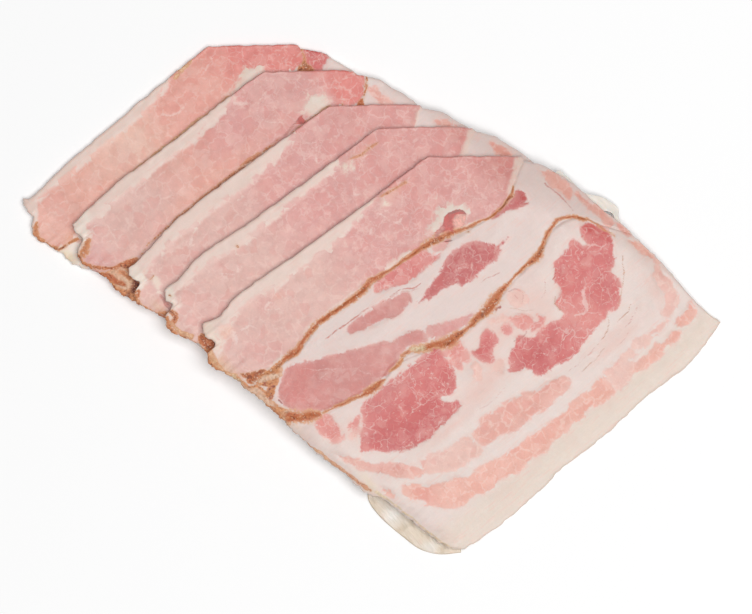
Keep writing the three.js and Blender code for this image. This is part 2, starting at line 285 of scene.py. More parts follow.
def distance_to_segments(x, y, starts, ends):
    """The distance to the nearest of many segments, which one it is, and how far along it."""
    nearest = np.full(x.shape, np.inf)
    which = np.zeros(x.shape, int)
    along = np.zeros(x.shape)
    for i, ((ax, ay), (bx, by)) in enumerate(zip(starts, ends)):
        ex, ey = bx - ax, by - ay
        part = np.clip(((x - ax) * ex + (y - ay) * ey) / (ex * ex + ey * ey or 1), 0, 1)
        away = np.hypot(x - ax - ex * part, y - ay - ey * part)
        closer = away < nearest
        nearest = np.where(closer, away, nearest)
        which = np.where(closer, i, which)
        along = np.where(closer, part, along)
    return nearest, which, along


def inside_ring(x, y, ring):
    inside = np.zeros(x.shape, bool)
    for (ax, ay), (bx, by) in zip(np.roll(ring, 1, axis=0), ring):
        if ay == by:
            continue
        crosses = (by > y) != (ay > y)
        inside ^= crosses & (x < bx + (ax - bx) * (y - by) / (ay - by))
    return inside


def depth_in_ring(x, y, ring):
    """Signed distance to a ring's edge, above 0 inside."""
    away, _, _ = distance_to_segments(x, y, np.roll(ring, 1, axis=0), ring)
    return np.where(inside_ring(x, y, ring), away, -away)


def level_over(laid, x, y, settings):
    """The level of what lies on the pieces already laid: each lifts it by its own thickness."""
    run = settings.drape_run / MM
    gap = settings.air_gap / MM
    level = np.zeros(x.shape)
    for ring, thickness in laid:
        away = np.clip(-depth_in_ring(x, y, ring) / run, 0, 1)
        level += (thickness + gap) * 0.5 * (1 + np.cos(np.pi * away))
    return level


def lattice_noise(x, y, size, seed):
    """Smooth noise from -1 to 1 with lumps of about the given size, the same at every run."""
    u, v = x / size, y / size
    iu, iv = np.floor(u), np.floor(v)
    fu, fv = u - iu, v - iv
    su, sv = fu * fu * (3 - 2 * fu), fv * fv * (3 - 2 * fv)

    def corner(du, dv):
        mixed = np.sin((iu + du) * 127.1 + (iv + dv) * 311.7 + seed * 74.7) * 43758.5453
        return mixed - np.floor(mixed)

    low = corner(0, 0) * (1 - su) + corner(1, 0) * su
    high = corner(0, 1) * (1 - su) + corner(1, 1) * su
    return 2 * (low * (1 - sv) + high * sv) - 1


def relief(x, y, layers):
    return sum(height * lattice_noise(x, y, cell, seed) for height, cell, seed in layers)


# ---- the grid of a slice ----


def eased(length, fine, coarse, rim_start=False, rim_end=False):
    """Parts from 0 to 1 whose steps grow from fine to coarse, with rings close to a round rim."""
    places = RIM_RINGS[:] if rim_start else [0.0]
    while places[-1] < length:
        share = places[-1] / length
        places.append(places[-1] + fine + (coarse - fine) * share)
    places = np.array(places)
    places = places * (length / places[-1])
    if rim_end:
        rings = length - np.array(RIM_RINGS[::-1])
        places = np.concatenate([places[places < length - RIM_MARGIN], rings])
    return places / length


def seam_spine(seam, sides, number, cut_near, cut_far):
    """A seam's middle line and how far its lips stand from it at each part of its length."""
    ends = sides["near"](cut_near)[0], sides["far"](cut_far)[0]
    middle = PlanCurve([ends[0], *carry(number, seam["line"]), ends[1]])

    def half_width(part):
        return seam["half_width"] + bump(part, *seam["mouth"]) + bump(part, *seam["hollow"])

    return middle, half_width


def beside(line, across):
    """Moves the places of a line across it, along x."""
    moved = line.copy()
    moved[:, 0] += across
    return moved


def coons_patch(left, right, near, far, across, along):
    """Fills a panel between four edges, given as rows of places."""
    s, t = across[None, :, None], along[:, None, None]
    sideways = left[:, None] * (1 - s) + right[:, None] * s
    lengthways = near[None] * (1 - t) + far[None] * t
    near_corners = left[0] * (1 - s) + right[0] * s
    far_corners = left[-1] * (1 - s) + right[-1] * s
    return sideways + lengthways - (near_corners * (1 - t) + far_corners * t)


def edge_between(edge, start_part, end_part, parts, start, end):
    """A stretch of an edge, pulled so that it starts and ends exactly at two places."""
    places = edge(start_part + (end_part - start_part) * parts)
    pull_start, pull_end = start - edge(start_part)[0], end - edge(end_part)[0]
    return places + pull_start * (1 - parts[:, None]) + pull_end * parts[:, None]


def slice_grid(number):
    """The plan places of a slice's grid, rows by columns, with how deep its seams are cut there."""
    sides = sides_of(number)
    if number == TOP:
        panels, seams, (length, step) = PANELS_OF_TOP, SEAMS, ROWS_OF_TOP
    else:
        panels, seams, (length, step) = PANELS_UNDER, SEAMS[:1], ROWS_UNDER
    along = eased(length, step, step, True, True)
    cuts = [(0.0, 0.0)]
    for seam in seams:
        near_x = carry(number, [(seam["near_x"], NEAR_ENDS[number][0][1])])[0, 0]
        far_x = carry(number, [(seam["far_x"], SEAM_FAR_Y)])[0, 0]
        cuts.append((sides["near"].part_at_x(near_x), sides["far"].part_at_x(far_x)))
    cuts.append((1.0, 1.0))
    spines = [seam_spine(seam, sides, number, *cuts[i + 1]) for i, seam in enumerate(seams)]
    lips = [sides["left"](along)]
    for middle, half_width in spines:
        lips += [beside(middle(along), -half_width(along)), beside(middle(along), half_width(along))]
    lips.append(sides["right"](along))
    columns, cut_depths = [], []
    for panel, (width, start_step, end_step) in enumerate(panels):
        left, right = lips[2 * panel], lips[2 * panel + 1]
        across = eased(width, start_step, end_step, panel == 0, panel == len(panels) - 1)
        (near_from, far_from), (near_to, far_to) = cuts[panel], cuts[panel + 1]
        near = edge_between(sides["near"], near_from, near_to, across, left[0], right[0])
        far = edge_between(sides["far"], far_from, far_to, across, left[-1], right[-1])
        patch = coons_patch(left, right, near, far, across, along)
        columns.append(patch)
        cut_depths.append(np.zeros(patch.shape[:2]))
        if panel < len(seams):
            middle, half_width = spines[panel]
            seam = seams[panel]
            depth = seam["depth"] * (1 + HOLLOW_DEEPENS * bump(along, *seam["hollow"]))
            for part in np.linspace(-1, 1, SEAM_COLUMNS + 2)[1:-1]:
                columns.append(beside(middle(along), part * half_width(along))[:, None])
                cut_depths.append((depth * math.cos(math.pi / 2 * part) ** SEAM_POWER)[:, None])
    return np.concatenate(columns, axis=1), np.concatenate(cut_depths, axis=1), along, spines


def depth_from_rim(grid):
    """How far each place of a grid lies in from the nearest of its four edges."""
    depth = np.full(grid.shape[:2], np.inf)
    for edge in (grid[:, :1], grid[:, -1:], grid[:1], grid[-1:]):
        depth = np.minimum(depth, np.linalg.norm(grid - edge, axis=2))
    return depth


def rounding(depth, radius):
    """How far a rounded rim falls back from a flat face at a depth in from the edge."""
    part = np.clip(1 - depth / radius, 0, 1)
    return radius * (1 - np.sqrt(1 - part**2))


def slab_mesh(name, grid, top, base, every):
    """A closed slab over a grid of plan places. Its base keeps each so-many-th row and column."""
    rows, width = top.shape
    ids = np.arange(rows * width).reshape(rows, width)
    keep_rows = sorted({*range(0, rows, every), rows - 1})
    keep_columns = sorted({*range(0, width, every), width - 1})
    on_base = np.zeros((rows, width), bool)
    on_base[np.ix_(keep_rows, keep_columns)] = True
    on_base[[0, -1], :] = True
    on_base[:, [0, -1]] = True
    under = np.full((rows, width), -1)
    under[on_base] = rows * width + np.arange(on_base.sum())
    plan = (grid - PLAN_CENTRE) * MM
    upper = np.dstack([plan, top * MM]).reshape(-1, 3)
    lower = np.dstack([plan, base * MM])[on_base]
    corners = [ids[:-1, :-1], ids[:-1, 1:], ids[1:, 1:], ids[1:, :-1]]
    faces = np.stack(corners, axis=-1).reshape(-1, 4).tolist()
    for j0, j1 in zip(keep_rows, keep_rows[1:]):
        for i0, i1 in zip(keep_columns, keep_columns[1:]):
            near = under[j0, i0:i1] if j0 == 0 else under[j0, [i0]]
            right = under[j0:j1, i1] if i1 == width - 1 else under[[j0], i1]
            far = under[j1, i1:i0:-1] if j1 == rows - 1 else under[j1, [i1]]
            left = under[j1:j0:-1, i0] if i0 == 0 else under[[j1], i0]
            faces.append(np.concatenate([near, right, far, left])[::-1].tolist())
    ring = [(0, i) for i in range(width)] + [(j, width - 1) for j in range(1, rows)]
    ring += [(rows - 1, i) for i in range(width - 2, -1, -1)] + [(j, 0) for j in range(rows - 2, 0, -1)]
    for (j0, i0), (j1, i1) in zip(ring, ring[1:] + ring[:1]):
        faces.append([ids[j0, i0], under[j0, i0], under[j1, i1], ids[j1, i1]])
    mesh = bpy.data.meshes.new(name)
    mesh.from_pydata(np.vstack([upper, lower]).tolist(), [], faces)
    mesh.polygons.foreach_set("use_smooth", np.ones(len(mesh.polygons), bool))
    mesh.update()
    return mesh, on_base


def new_piece(name, mesh, material):
    piece = bpy.data.objects.new(name, mesh)
    bpy.context.scene.collection.objects.link(piece)
    mesh.materials.append(material)
    return piece


# ---- colours ----

RAW = {
    "edge fat": (227, 201, 189),
    "curled fat": (234, 218, 205),
    "outer fat": (224, 206, 192),
    "fat": (224, 205, 197),
    "inner fat": (221, 200, 193),
    "cave fat": (220, 197, 189),
    "cream": (229, 206, 190),
    "yellow cream": (228, 208, 176),
    "salmon": (230, 184, 165),
    "pink": (220, 173, 162),
    "mauve pink": (214, 150, 143),
    "rose pink": (217, 150, 143),
    "rose": (213, 143, 136),
    "warm rose": (220, 118, 108),
    "belly pink": (223, 160, 145),
    "belly salmon": (228, 164, 146),
    "pale belly": (225, 179, 166),
    "light belly": (226, 155, 140),
    "mauve": (199, 120, 112),
    "pale mauve": (208, 139, 132),
    "strip rose": (212, 108, 102),
    "deep rose": (185, 57, 54),
    "red lean": (202, 82, 78),
    "light red lean": (218, 128, 118),
    "deep red lean": (189, 46, 46),
    "crust": (217, 150, 104),
    "rust": (187, 97, 53),
    "orange": (204, 132, 86),
    "tan": (218, 174, 136),
    "olive tan": (210, 186, 150),
    "dark crust": (122, 58, 34),
    "burnt": (150, 84, 54),
    "liver": (158, 78, 68),
    "crimson": (188, 70, 60),
    "maroon": (96, 18, 12),
    "bruise": (190, 120, 110),
    "thread": (190, 118, 106),
    "brown thread": (186, 132, 100),
    "web": (236, 212, 203),
    "white fat": (222, 205, 192),
    "lobule": (237, 208, 196),
    "film warm": (207, 189, 166),
    "film pale": (240, 231, 222),
    "film grey": (242, 235, 226),
}


def linear(colour):
    """An sRGB colour, 0 to 255, as Blender's linear one."""
    share = np.asarray(colour, float) / 255
    return np.where(share <= 0.04045, share / 12.92, ((share + 0.055) / 1.055) ** 2.4)


COLOUR = {name: linear(value) for name, value in RAW.items()}

# ---- the slices' patterns ----

# The border between the fat strip and the lean along each slice's fat edge, as (y, x).
# Where it runs out past the fat edge, the lean reaches the edge.
FAT_BORDERS = {
    1: [
        (-66, -67.5), (-63.5, -68.6), (-61.6, -70.4), (-59.8, -72.8), (-55, -73.5), (-50, -73), (-45, -73.1),
        (-37, -73.6), (-32, -73.1), (-27, -73), (-20, -73.4), (-15, -74), (-11, -74.9), (-8, -77),
        (-4, -80)],
    2: [
        (-59, -54), (-56.5, -54.4), (-55.4, -55.6), (-54.4, -57), (-53, -58.9), (-50, -58.4), (-45, -59.3),
        (-40, -59.1), (-35, -58.5), (-30, -58.8), (-25, -58.7), (-20, -58.2), (-15, -57.9), (-10, -58.6),
        (-5, -58.9), (0, -59.2), (2.5, -61), (5, -65)],
    3: [
        (-55, -35.2), (-50.3, -36), (-49.4, -38.6), (-47, -39.7), (-40, -39.8), (-35, -39.9), (-31, -39.1),
        (-27, -39.8), (-22, -39.2), (-17, -38.8), (-12, -38), (-8, -38.3), (-5, -39), (0, -39.8), (5, -39.6),
        (8, -41.5), (11, -46)],
    4: [
        (-53, -23.5), (-49.5, -24.6), (-48.3, -25.6), (-46.6, -28.3), (-44, -29), (-40, -28.5), (-35, -28.3),
        (-32, -28.5), (-29, -27.6), (-26, -27), (-22, -27), (-18, -26.5), (-10, -26.3), (-5, -25.9),
        (0, -26.1), (5, -26.1), (9, -25.9), (12, -26.7), (15, -32)],
    5: [
        (-48, -7.5), (-46.3, -8.6), (-45, -11), (-43.5, -12.5), (-41.5, -12.3), (-40, -11), (-38.3, -12),
        (-36, -13), (-32, -13), (-28, -12.1), (-25, -11.1), (-15, -11), (-10, -10.7), (-5, -10), (0, -10.2),
        (4, -10.8), (8, -11.4), (12, -11.7), (14, -13), (17, -17)],
}

# Lean muscle past a slice's first seam, in the places of the top slice's pattern: (colour, outline).
LEAN_OF_TOP = [
    ("deep rose", [
        (19.9, 34.6), (20.7, 31.5), (21.8, 29), (22.3, 25), (22.3, 20), (21.8, 16.2), (20.1, 15.6),
        (19.3, 12.5), (18.6, 7.5), (17.4, 3), (16.6, 6), (15.3, 10), (14.6, 14), (13.3, 17), (12.9, 20),
        (13.4, 23.5), (15, 27), (17.6, 30), (19, 31.6)]),
    ("mauve", [
        (13.3, 3.3), (15.5, 2.8), (16.2, 0), (16.4, -2), (15.6, -5), (14.6, -9), (13.2, -13), (11.5, -16.5),
        (9.7, -15), (10, -9), (10.8, -4), (12, 0)]),
    ("strip rose", [
        (5.6, 14.6), (7.5, 15.2), (9.6, 15.4), (10.6, 17.4), (11.4, 16), (11.5, 10), (11, 4.2), (9.8, 2.4),
        (9, -0.5), (7.8, -3.4), (6.4, -2.9), (5, 0.6), (5.5, 4), (5.4, 10)]),
    ("deep rose", [
        (10.6, 46.4), (15, 46.2), (15.4, 43.5), (14.6, 41), (13.4, 37.5), (12.6, 34.6), (11.9, 38),
        (11.8, 42), (11, 44.6)]),
    ("rose", [(9.4, 23), (10.4, 22), (10.2, 18), (8.4, 17.2), (8.6, 20)]),
    ("belly pink", [(11, 53.5), (13, 56), (18, 57.3), (21, 57), (23, 54.8), (19, 54.1)]),
    ("pale mauve", [
        (29.8, 14.6), (28, 10), (25.8, 5.5), (24.3, 1.2), (26.5, 0.4), (28.6, 1.6), (29.8, 4), (30.4, 8),
        (30.6, 12)]),
    ("mauve", [
        (27, -1), (24, -0.6), (22.4, -2.4), (21.4, -5), (21, -9), (19.3, -10.4), (17.5, -15), (15.2, -19.5),
        (12, -26), (8, -34), (8.2, -37), (10, -40.8), (12, -42.6), (15, -43.2), (18, -42), (20, -40),
        (22.6, -36.6), (24.4, -33.4), (25.6, -29), (26.8, -25), (26.9, -19), (27.2, -15), (26.6, -12),
        (25.4, -9), (25, -6.5), (26, -4)]),
    ("red lean", [
        (30.3, 54.6), (33, 56.5), (35.5, 57.7), (38.5, 57.4), (41, 55.8), (42.8, 54.5), (44.3, 52.8),
        (45, 50.9), (48, 50.7), (51, 49.5), (53.3, 47.2), (54.4, 45.2), (53.2, 43.6), (54.4, 41.5), (55, 38),
        (55.3, 34.5), (56, 31.5), (57, 29), (56.8, 26.5), (56.1, 24), (56, 20.5), (54.8, 17), (50.8, 15),
        (49.5, 12.5), (48.3, 11), (46.5, 12), (44, 14.8), (43.5, 17), (42, 18.8), (43.2, 20.8), (45, 22),
        (44.8, 25.5), (45.2, 28.5), (46.5, 31), (45.6, 33.3), (42, 33), (40.5, 36.2), (37.5, 36.8),
        (35.5, 38), (33.4, 40), (33, 43), (31.9, 46), (31.6, 48.6), (34.6, 49.2), (34.8, 50.4), (32, 50.8),
        (30.5, 52.5)]),
    ("red lean", [
        (30.3, -0.2), (34, 0.3), (38, -0.6), (40.5, -1.3), (42.4, -3), (42.5, -6), (41.4, -8.1), (43, -8.1),
        (44.8, -6.6), (44.6, -4.8), (46.6, -4.8), (47.6, -7), (47.6, -9.5), (47.7, -13), (48.4, -17),
        (48.2, -20.5), (47, -24), (44.5, -28), (42, -31), (39.5, -34.3), (37.5, -34.3), (35, -32),
        (33.5, -29.5), (31, -27.8), (29.3, -26.5), (29.1, -23), (28.9, -19), (29, -14), (29.4, -8),
        (29.8, -4)]),
    ("red lean", [
        (35.3, 13.8), (37.5, 14.7), (39.3, 14.3), (40.5, 12.5), (41.3, 10.6), (43.2, 10.3), (43.4, 9),
        (42, 7.3), (40, 6.5), (37.6, 6.7), (37.8, 9), (36, 11), (35.3, 12)]),
    ("strip rose", [(37.4, 19.3), (39.5, 19.4), (40.1, 17.8), (38.6, 16.8), (37.3, 17.8)]),
    ("light red lean", [(36.4, 20.2), (38.6, 24.8), (42.2, 25.2), (42.2, 21.4), (38.6, 20.9)]),
    ("light red lean", [(41.3, 27.6), (43.5, 28.8), (45, 26), (43.8, 22.8), (42.5, 24), (42.6, 26.5)]),
    ("light red lean", [
        (32.7, 6.4), (35.5, 5.9), (38.7, 4.8), (38.4, 3.2), (37.2, 2.6), (39.1, 1.5), (38.8, 0.4), (35, 0.5),
        (32.5, 1.6), (32.3, 4)]),
    ("pale belly", [(33.6, 16), (35, 19.6), (36.6, 19.6), (36, 17), (35, 15.4)]),
    ("pale belly", [(40.8, 5.7), (43.6, 5.4), (45, 3.7), (43.5, 2.2), (42, 3), (40.6, 4.2)]),
    ("pale belly", [(44, 11), (45.8, 11.6), (47.6, 9.6), (46, 8.4), (44.6, 9.2)]),
    ("light red lean", [
        (24.6, -35.6), (28, -35), (31, -35.3), (33, -36.8), (31.2, -39.3), (27.6, -40.2), (24.2, -39.4),
        (23.8, -37.4)]),
    ("pale belly", [(33, -31), (34.6, -31.6), (34.8, -34), (33.4, -34.2)]),
    ("light red lean", [
        (30.4, -28.4), (32.2, -29.4), (33.2, -31), (32.6, -32.8), (31.4, -33.6), (30.6, -31)]),
    ("pale belly", [
        (31.6, 25.6), (32.6, 28.2), (34.8, 28.6), (36.6, 27), (36.2, 24.6), (34.2, 23.8), (32.4, 24.2)]),
    ("belly pink", [
        (60.4, 22.4), (62.2, 21.4), (62.9, 17.4), (62.6, 15), (63.3, 13), (62.9, 10), (62.5, 7.8), (62.3, 4),
        (62.4, 2), (60.9, -2), (60.6, -5), (59.6, -7.6), (57.4, -8.6), (55, -7.8), (54.6, -5), (53.2, -3),
        (53.6, 0), (54, 3), (54.8, 6.4), (55.6, 10), (57.4, 13.4), (57.6, 17), (58.8, 20.8)]),
    ("pale belly", [
        (55, -9.4), (58, -8.8), (60.7, -8.9), (60.9, -11), (60, -13.4), (60.2, -16), (59, -19.5),
        (57.4, -22), (55.4, -24.6), (53, -25), (51.2, -24), (52, -20.4), (53.4, -17.8), (54, -14),
        (54.2, -11)]),
    ("belly pink", [
        (50.6, -27), (52.8, -25), (55, -25.3), (54.4, -27.6), (53.4, -29), (51, -31.4), (48, -34),
        (45, -35.8), (42.4, -38), (37, -40.6), (35.2, -40.2), (40, -37), (43.6, -34.4), (46, -32),
        (47.4, -29.4), (49, -28.2)]),
    ("belly salmon", [
        (66.4, 30), (69, 30.6), (71.9, 30.4), (72.2, 26), (71.3, 22), (71.6, 18), (70.8, 15.4), (71.8, 12),
        (71.3, 8.4), (72.1, 4), (71.4, 0), (71.8, -4), (71.2, -8), (70.4, -10.4), (70.8, -14), (70.2, -16.4),
        (68.8, -18.5), (69, -22.5), (67.4, -25), (65.6, -27.2), (62, -30), (58.4, -32.6), (55.4, -33.2),
        (54, -32), (55.4, -29.6), (57.4, -27.4), (60, -24), (60.9, -21.6), (61.4, -18.8), (63.5, -16.8),
        (63.6, -13), (64.4, -8.8), (65.4, -5), (65.4, -1), (65.8, 3), (66.4, 9), (66.2, 12), (66.8, 15),
        (66.2, 20), (66.7, 25)]),
    ("pale belly", [
        (65.4, 38.6), (67.6, 38.2), (70, 39.4), (71.9, 36), (71.9, 31.7), (69.4, 31.2), (66, 31.4),
        (65.3, 35)]),
    ("belly salmon", [
        (70.6, 38.2), (69.8, 41.6), (69.6, 45.5), (68.9, 48), (70.2, 49.6), (69.2, 52), (69.5, 54.6),
        (71.4, 55), (72.2, 52), (71.5, 49.4), (72.4, 46), (72.3, 41.5), (71.6, 38.6)]),
    ("belly salmon", [
        (66, 63.2), (69, 62.4), (70.6, 60), (70.2, 56.8), (69, 54.9), (67.3, 57), (66.8, 60.5)]),
    ("pale belly", [
        (49, 60.8), (50, 62.6), (52.2, 61.6), (53.4, 59.4), (56, 58.3), (60, 58.3), (62, 56.2), (63.4, 54.2),
        (66, 54.6), (67.4, 52), (66.8, 48.6), (68, 46), (67, 43.4), (65.4, 42), (64.4, 44), (64.9, 47),
        (64.6, 50.6), (65.6, 54), (65.4, 57), (63.4, 60.4), (60, 62.2), (56, 62.4), (53, 63), (50.4, 63)]),
    ("pale belly", [(65, 38.8), (66.8, 39.2), (67.6, 41.4), (65.4, 41.6)]),
    ("belly salmon", [(41.5, 60.4), (44, 61.9), (47, 62.7), (50, 62.9), (48.8, 61.4), (45, 60.4)]),
    ("belly pink", [(35.5, 60.9), (38, 61.9), (40.8, 61.8), (41.2, 60.6), (38, 60.2)]),
    ("belly pink", [
        (22, 58.5), (26, 59.2), (30, 60.2), (34.6, 60.8), (35.8, 59), (31, 58.1), (27, 57.4), (22.5, 57)]),
    ("belly salmon", [(50, -36.6), (53.6, -35.4), (54.2, -36.2), (51, -37.5)]),
]

# Pale lines of connective tissue in that lean, as (x, y, half width).
WEBS_OF_TOP = [
    [(31, 49.6, 0.8), (34.6, 50, 0.55), (37, 52.5, 0.3), (40, 54, 0.2)],
    [(35.8, 48.8, 0.22), (36.2, 46.3, 0.26), (39.5, 46.5, 0.19)],
    [(44, 42.5, 0.38), (45, 41, 0.6), (48, 39.5, 0.68), (49.3, 38, 0.52), (48.3, 35.5, 0.3)],
    [(49.5, 31.5, 0.26), (50, 29.5, 0.26), (52.3, 27.5, 0.19), (51, 26, 0.15)],
    [(49, 19, 0.15), (50.8, 21.8, 0.22), (52.8, 22.8, 0.15)],
    [(45.5, 49, 0.15), (46, 46.5, 0.19), (43.8, 44.5, 0.15)],
    [(31, -4, 0.15), (36, -6, 0.19), (40, -5.5, 0.15)],
    [(40, -7.6, 0.22), (40.3, -10, 0.22), (40.2, -13, 0.3), (38, -14.6, 0.22)],
    [(33, -19, 0.15), (36, -18.7, 0.19), (38.5, -19.2, 0.15)],
    [(40, -18, 0.19), (41.5, -21, 0.19), (44, -24, 0.15)],
    [(37, -28, 0.15), (38.7, -29.7, 0.19)],
    [(35.5, -10.8, 0.15), (38, -10.2, 0.19), (40, -10, 0.19)],
    [(6, 12.6, 0.19), (8, 12.8, 0.22), (9.8, 12.3, 0.19)],
    [(5.8, 8.1, 0.19), (8, 8.2, 0.22), (9.6, 7.4, 0.19)],
    [(6, 4.8, 0.19), (8, 5.2, 0.19), (9.6, 4.6, 0.19)],
    [(16.2, 24.6, 0.22), (17, 23, 0.19)],
    [(18.6, 22.4, 0.19), (20, 25, 0.19)],
    [(17.2, 18.6, 0.15), (18.4, 20.6, 0.19), (19.4, 21.6, 0.11)],
    [(15.6, 28.2, 0.22), (16.4, 26.4, 0.15)],
    [(16.5, -26.5, 0.15), (17.5, -26, 0.26), (18, -27.4, 0.19)],
    [(9.9, -33.1, 0.15), (13.7, -29.3, 0.24), (16.6, -25.6, 0.22), (17.6, -22.9, 0.15)],
    [(16.7, -31.8, 0.15), (16.2, -29.7, 0.22), (16.4, -26.4, 0.2)],
    [(19.1, -21.6, 0.15), (22.5, -20.1, 0.22), (24.7, -18.5, 0.15)],
    [(54.2, 4.4, 0.15), (58.5, 2.8, 0.19), (62.3, 3.6, 0.15)],
    [(55.5, -2.4, 0.15), (58.5, -1.6, 0.19), (61.4, -2.6, 0.15)],
    [(56.5, 12.4, 0.15), (59.5, 11.4, 0.22), (63, 12.6, 0.15)],
    [(65.6, 2, 0.15), (69, 1.6, 0.22), (72, 2.4, 0.15)],
    [(64.8, -9, 0.15), (67, -10.4, 0.19), (70.6, -10.6, 0.15)],
    [(66.8, 29.8, 0.22), (69, 31, 0.22), (72, 30.6, 0.15)],
    [(61.5, -20.4, 0.19), (64, -19, 0.22), (69.4, -19.6, 0.15)],
    [(61, -25, 0.15), (62.6, -22.4, 0.22), (66, -23.4, 0.15)],
    [(53.8, -16.4, 0.15), (57, -15, 0.19), (60, -16, 0.15)],
]

# The browned seams between the turns of every slice, in the places of the top slice's pattern, as
# (colour, line of (x, y, half width)).
SEAM_STROKES = [
    ("rust", [
        (9.6, 45, 0.11), (11.4, 42, 0.22), (12, 37, 0.22), (12, 34, 0.18), (10.9, 31, 0.18),
        (10.3, 28.4, 0.26), (9.2, 25.8, 0.38), (8.2, 22.4, 0.62), (7.1, 19, 0.79), (6.6, 15.6, 0.57),
        (6, 12, 0.3), (5.5, 8, 0.26), (5.4, 4.4, 0.22), (4.7, 1.6, 0.45), (4.4, -2, 0.62), (4.9, -5.6, 0.6),
        (4.9, -10, 0.6), (4.6, -14.6, 0.46), (3.9, -18.6, 0.5), (4.1, -23.6, 0.44), (4.9, -27, 0.52),
        (5.8, -31, 0.72), (5.7, -34, 0.5), (6, -36.4, 0.18)]),
    ("rust", [
        (29.5, 54.5, 0.34), (27, 52.6, 0.38), (25, 50, 0.18), (24.6, 48, 0.22), (25.3, 45, 0.3),
        (26.5, 42.5, 0.22), (28, 39.8, 0.47), (28.9, 37.6, 0.79), (28.6, 34, 0.34), (29, 31, 0.26),
        (29.2, 28, 0.22), (29.5, 25.4, 0.43), (30, 22.6, 0.85), (31, 19.5, 1.17), (31.2, 16, 0.85),
        (31.4, 12.4, 0.47), (31.4, 9.6, 0.26), (31.2, 7, 0.79), (31.3, 4, 1.24), (30.2, 1.4, 0.97),
        (29, -0.6, 0.73), (28.2, -3, 0.43)]),
    ("olive tan", [(28, -3, 0.62), (27, -4.6, 0.62), (26.2, -6, 0.34)]),
    ("rust", [(26.1, -6.6, 0.26), (25.9, -9.2, 0.22)]),
    ("orange", [(26.6, -9.6, 0.26), (27.2, -12, 0.3), (27.1, -14.4, 0.08)]),
    ("rust", [
        (27.9, -17.2, 0.22), (27.6, -20.6, 0.79), (27.3, -23, 0.62), (27, -24.8, 0.22), (26.6, -26.2, 0.1),
        (25.9, -28.6, 0.24), (25.1, -31.6, 0.24), (24.6, -33.6, 0.08), (23.8, -35.8, 0.11)]),
    ("rust", [(23.4, -37.2, 0.62), (22.4, -39, 1.17), (20.6, -41.8, 1.1), (18.8, -44, 1.39)]),
]

# The paler browning beside a seam: how much wider it is than the seam's own stroke, and its strength.
TAN_BESIDE = {"wider": 1.3, "more": 0.25, "strength": 0.8}

# The marks of one slice, in its own plan places, by slice and kind: (colour, outline or line, strength),
# where a stroke's line is of (x, y, half width), and a wash is a tint round (x, y, run in x, run in y).
# A few are painted shade where the edge or lifted corner of the slice above lies over or beside them.
OWN_MARKS = {}
OWN_MARKS[1, "lean"] = [
    ("red lean", [
        (-58.9, 25.2), (-56.4, 28.4), (-53, 29.6), (-51.2, 28.9), (-50, 26.2), (-48.6, 25.2), (-51.4, 23.6),
        (-55.4, 23.2)]),
    ("warm rose", [
        (-60.4, 25.6), (-57.4, 24.6), (-55.4, 23.4), (-54.9, 21), (-55, 18.6), (-58, 17), (-62, 19),
        (-62.4, 24)]),
]
OWN_MARKS[1, "fat"] = [
    ("curled fat", [
        (-58.9, -64.5), (-58.6, -60), (-58, -57), (-56.4, -55), (-52, -55), (-50, -60), (-53, -63.5)]),
    ("fat", [(-51.3, 29.6), (-50, 26.4), (-47, 24.6), (-38, 30), (-38, 37), (-48, 33.5)]),
]
OWN_MARKS[1, "soft fat"] = [
    ("cream", [
        (-59.6, 0.4), (-61.6, 0.6), (-63, 2.6), (-64.4, 5.4), (-65, 9), (-64.2, 12.4), (-62.4, 14.4),
        (-60, 14), (-58.4, 8)]),
]
OWN_MARKS[1, "wash lean"] = [
    # Painted shade: a brown crust-coloured wash on slice 1, under slice 2's lifted near corner.
    ("crust", (-59.6, -58.4, 1.6, 2.4), 0.5),
    ("pale belly", (-67, -33, 4, 5), 0.5),
    ("pale belly", (-68, -43, 2.4, 4), 0.5),
    ("pale belly", (-67, -57, 3, 3), 0.35),
    ("belly pink", (-62, -2, 3, 6), 0.5),
]
OWN_MARKS[1, "wash fat"] = [
    ("white fat", (-62, 9.6, 2.2, 3.6), 0.8),
    ("yellow cream", (-56, -62.8, 2.6, 1.3), 0.9),
]
OWN_MARKS[1, "blot"] = [
    ("rust", [(-55.2, 23), (-53.4, 23.7), (-51.2, 23.8), (-53, 21.8), (-54.4, 20.3), (-55, 21)]),
]
OWN_MARKS[1, "stroke"] = [
    ("orange", [(-59, 25.4, 0.35), (-57, 24.3, 0.25), (-55.4, 23.5, 0.3), (-54.6, 22, 0.4)]),
    ("burnt", [(-54.9, 23, 0.2), (-53.8, 22.8, 0.2), (-52, 23.5, 0.15)]),
    ("burnt", [(-54.2, 21.2, 0.25), (-53.2, 22.2, 0.15)]),
    ("orange", [
        (-68.6, -63.4, 0.4), (-67.2, -65.3, 0.65), (-65.2, -66.2, 0.8), (-62.8, -65.4, 0.7),
        (-60.6, -64.4, 0.55), (-59.2, -63, 0.5), (-58.5, -60, 0.5), (-58.1, -57.6, 0.45)]),
    ("burnt", [(-63, -65.6, 0.2), (-62, -65.2, 0.25)]),
    ("burnt", [(-60.8, -64.6, 0.25), (-60, -64.1, 0.3)]),
    ("dark crust", [(-59.3, -63, 0.3), (-58.9, -62, 0.2)]),
    ("tan", [(-75.9, -1, 0.3), (-75.6, -5, 0.7), (-75.2, -7.6, 0.5)]),
    # Painted shade: a thin tan line on slice 1 just along slice 2's fat edge, in place of that edge's
    # shadow.
    ("tan", [
        (-61.5, -46, 0.25), (-62.3, -40, 0.4), (-62.2, -28, 0.45), (-61.9, -14, 0.4), (-61.5, -6, 0.35),
        (-61.1, 0.5, 0.45)]),
]
OWN_MARKS[2, "lean"] = [
    ("warm rose", [
        (-44.6, 32.6), (-41.4, 33.2), (-38.8, 31.2), (-36.6, 29), (-37, 25.6), (-39.4, 23.8), (-44, 24.6),
        (-46.4, 29)]),
]
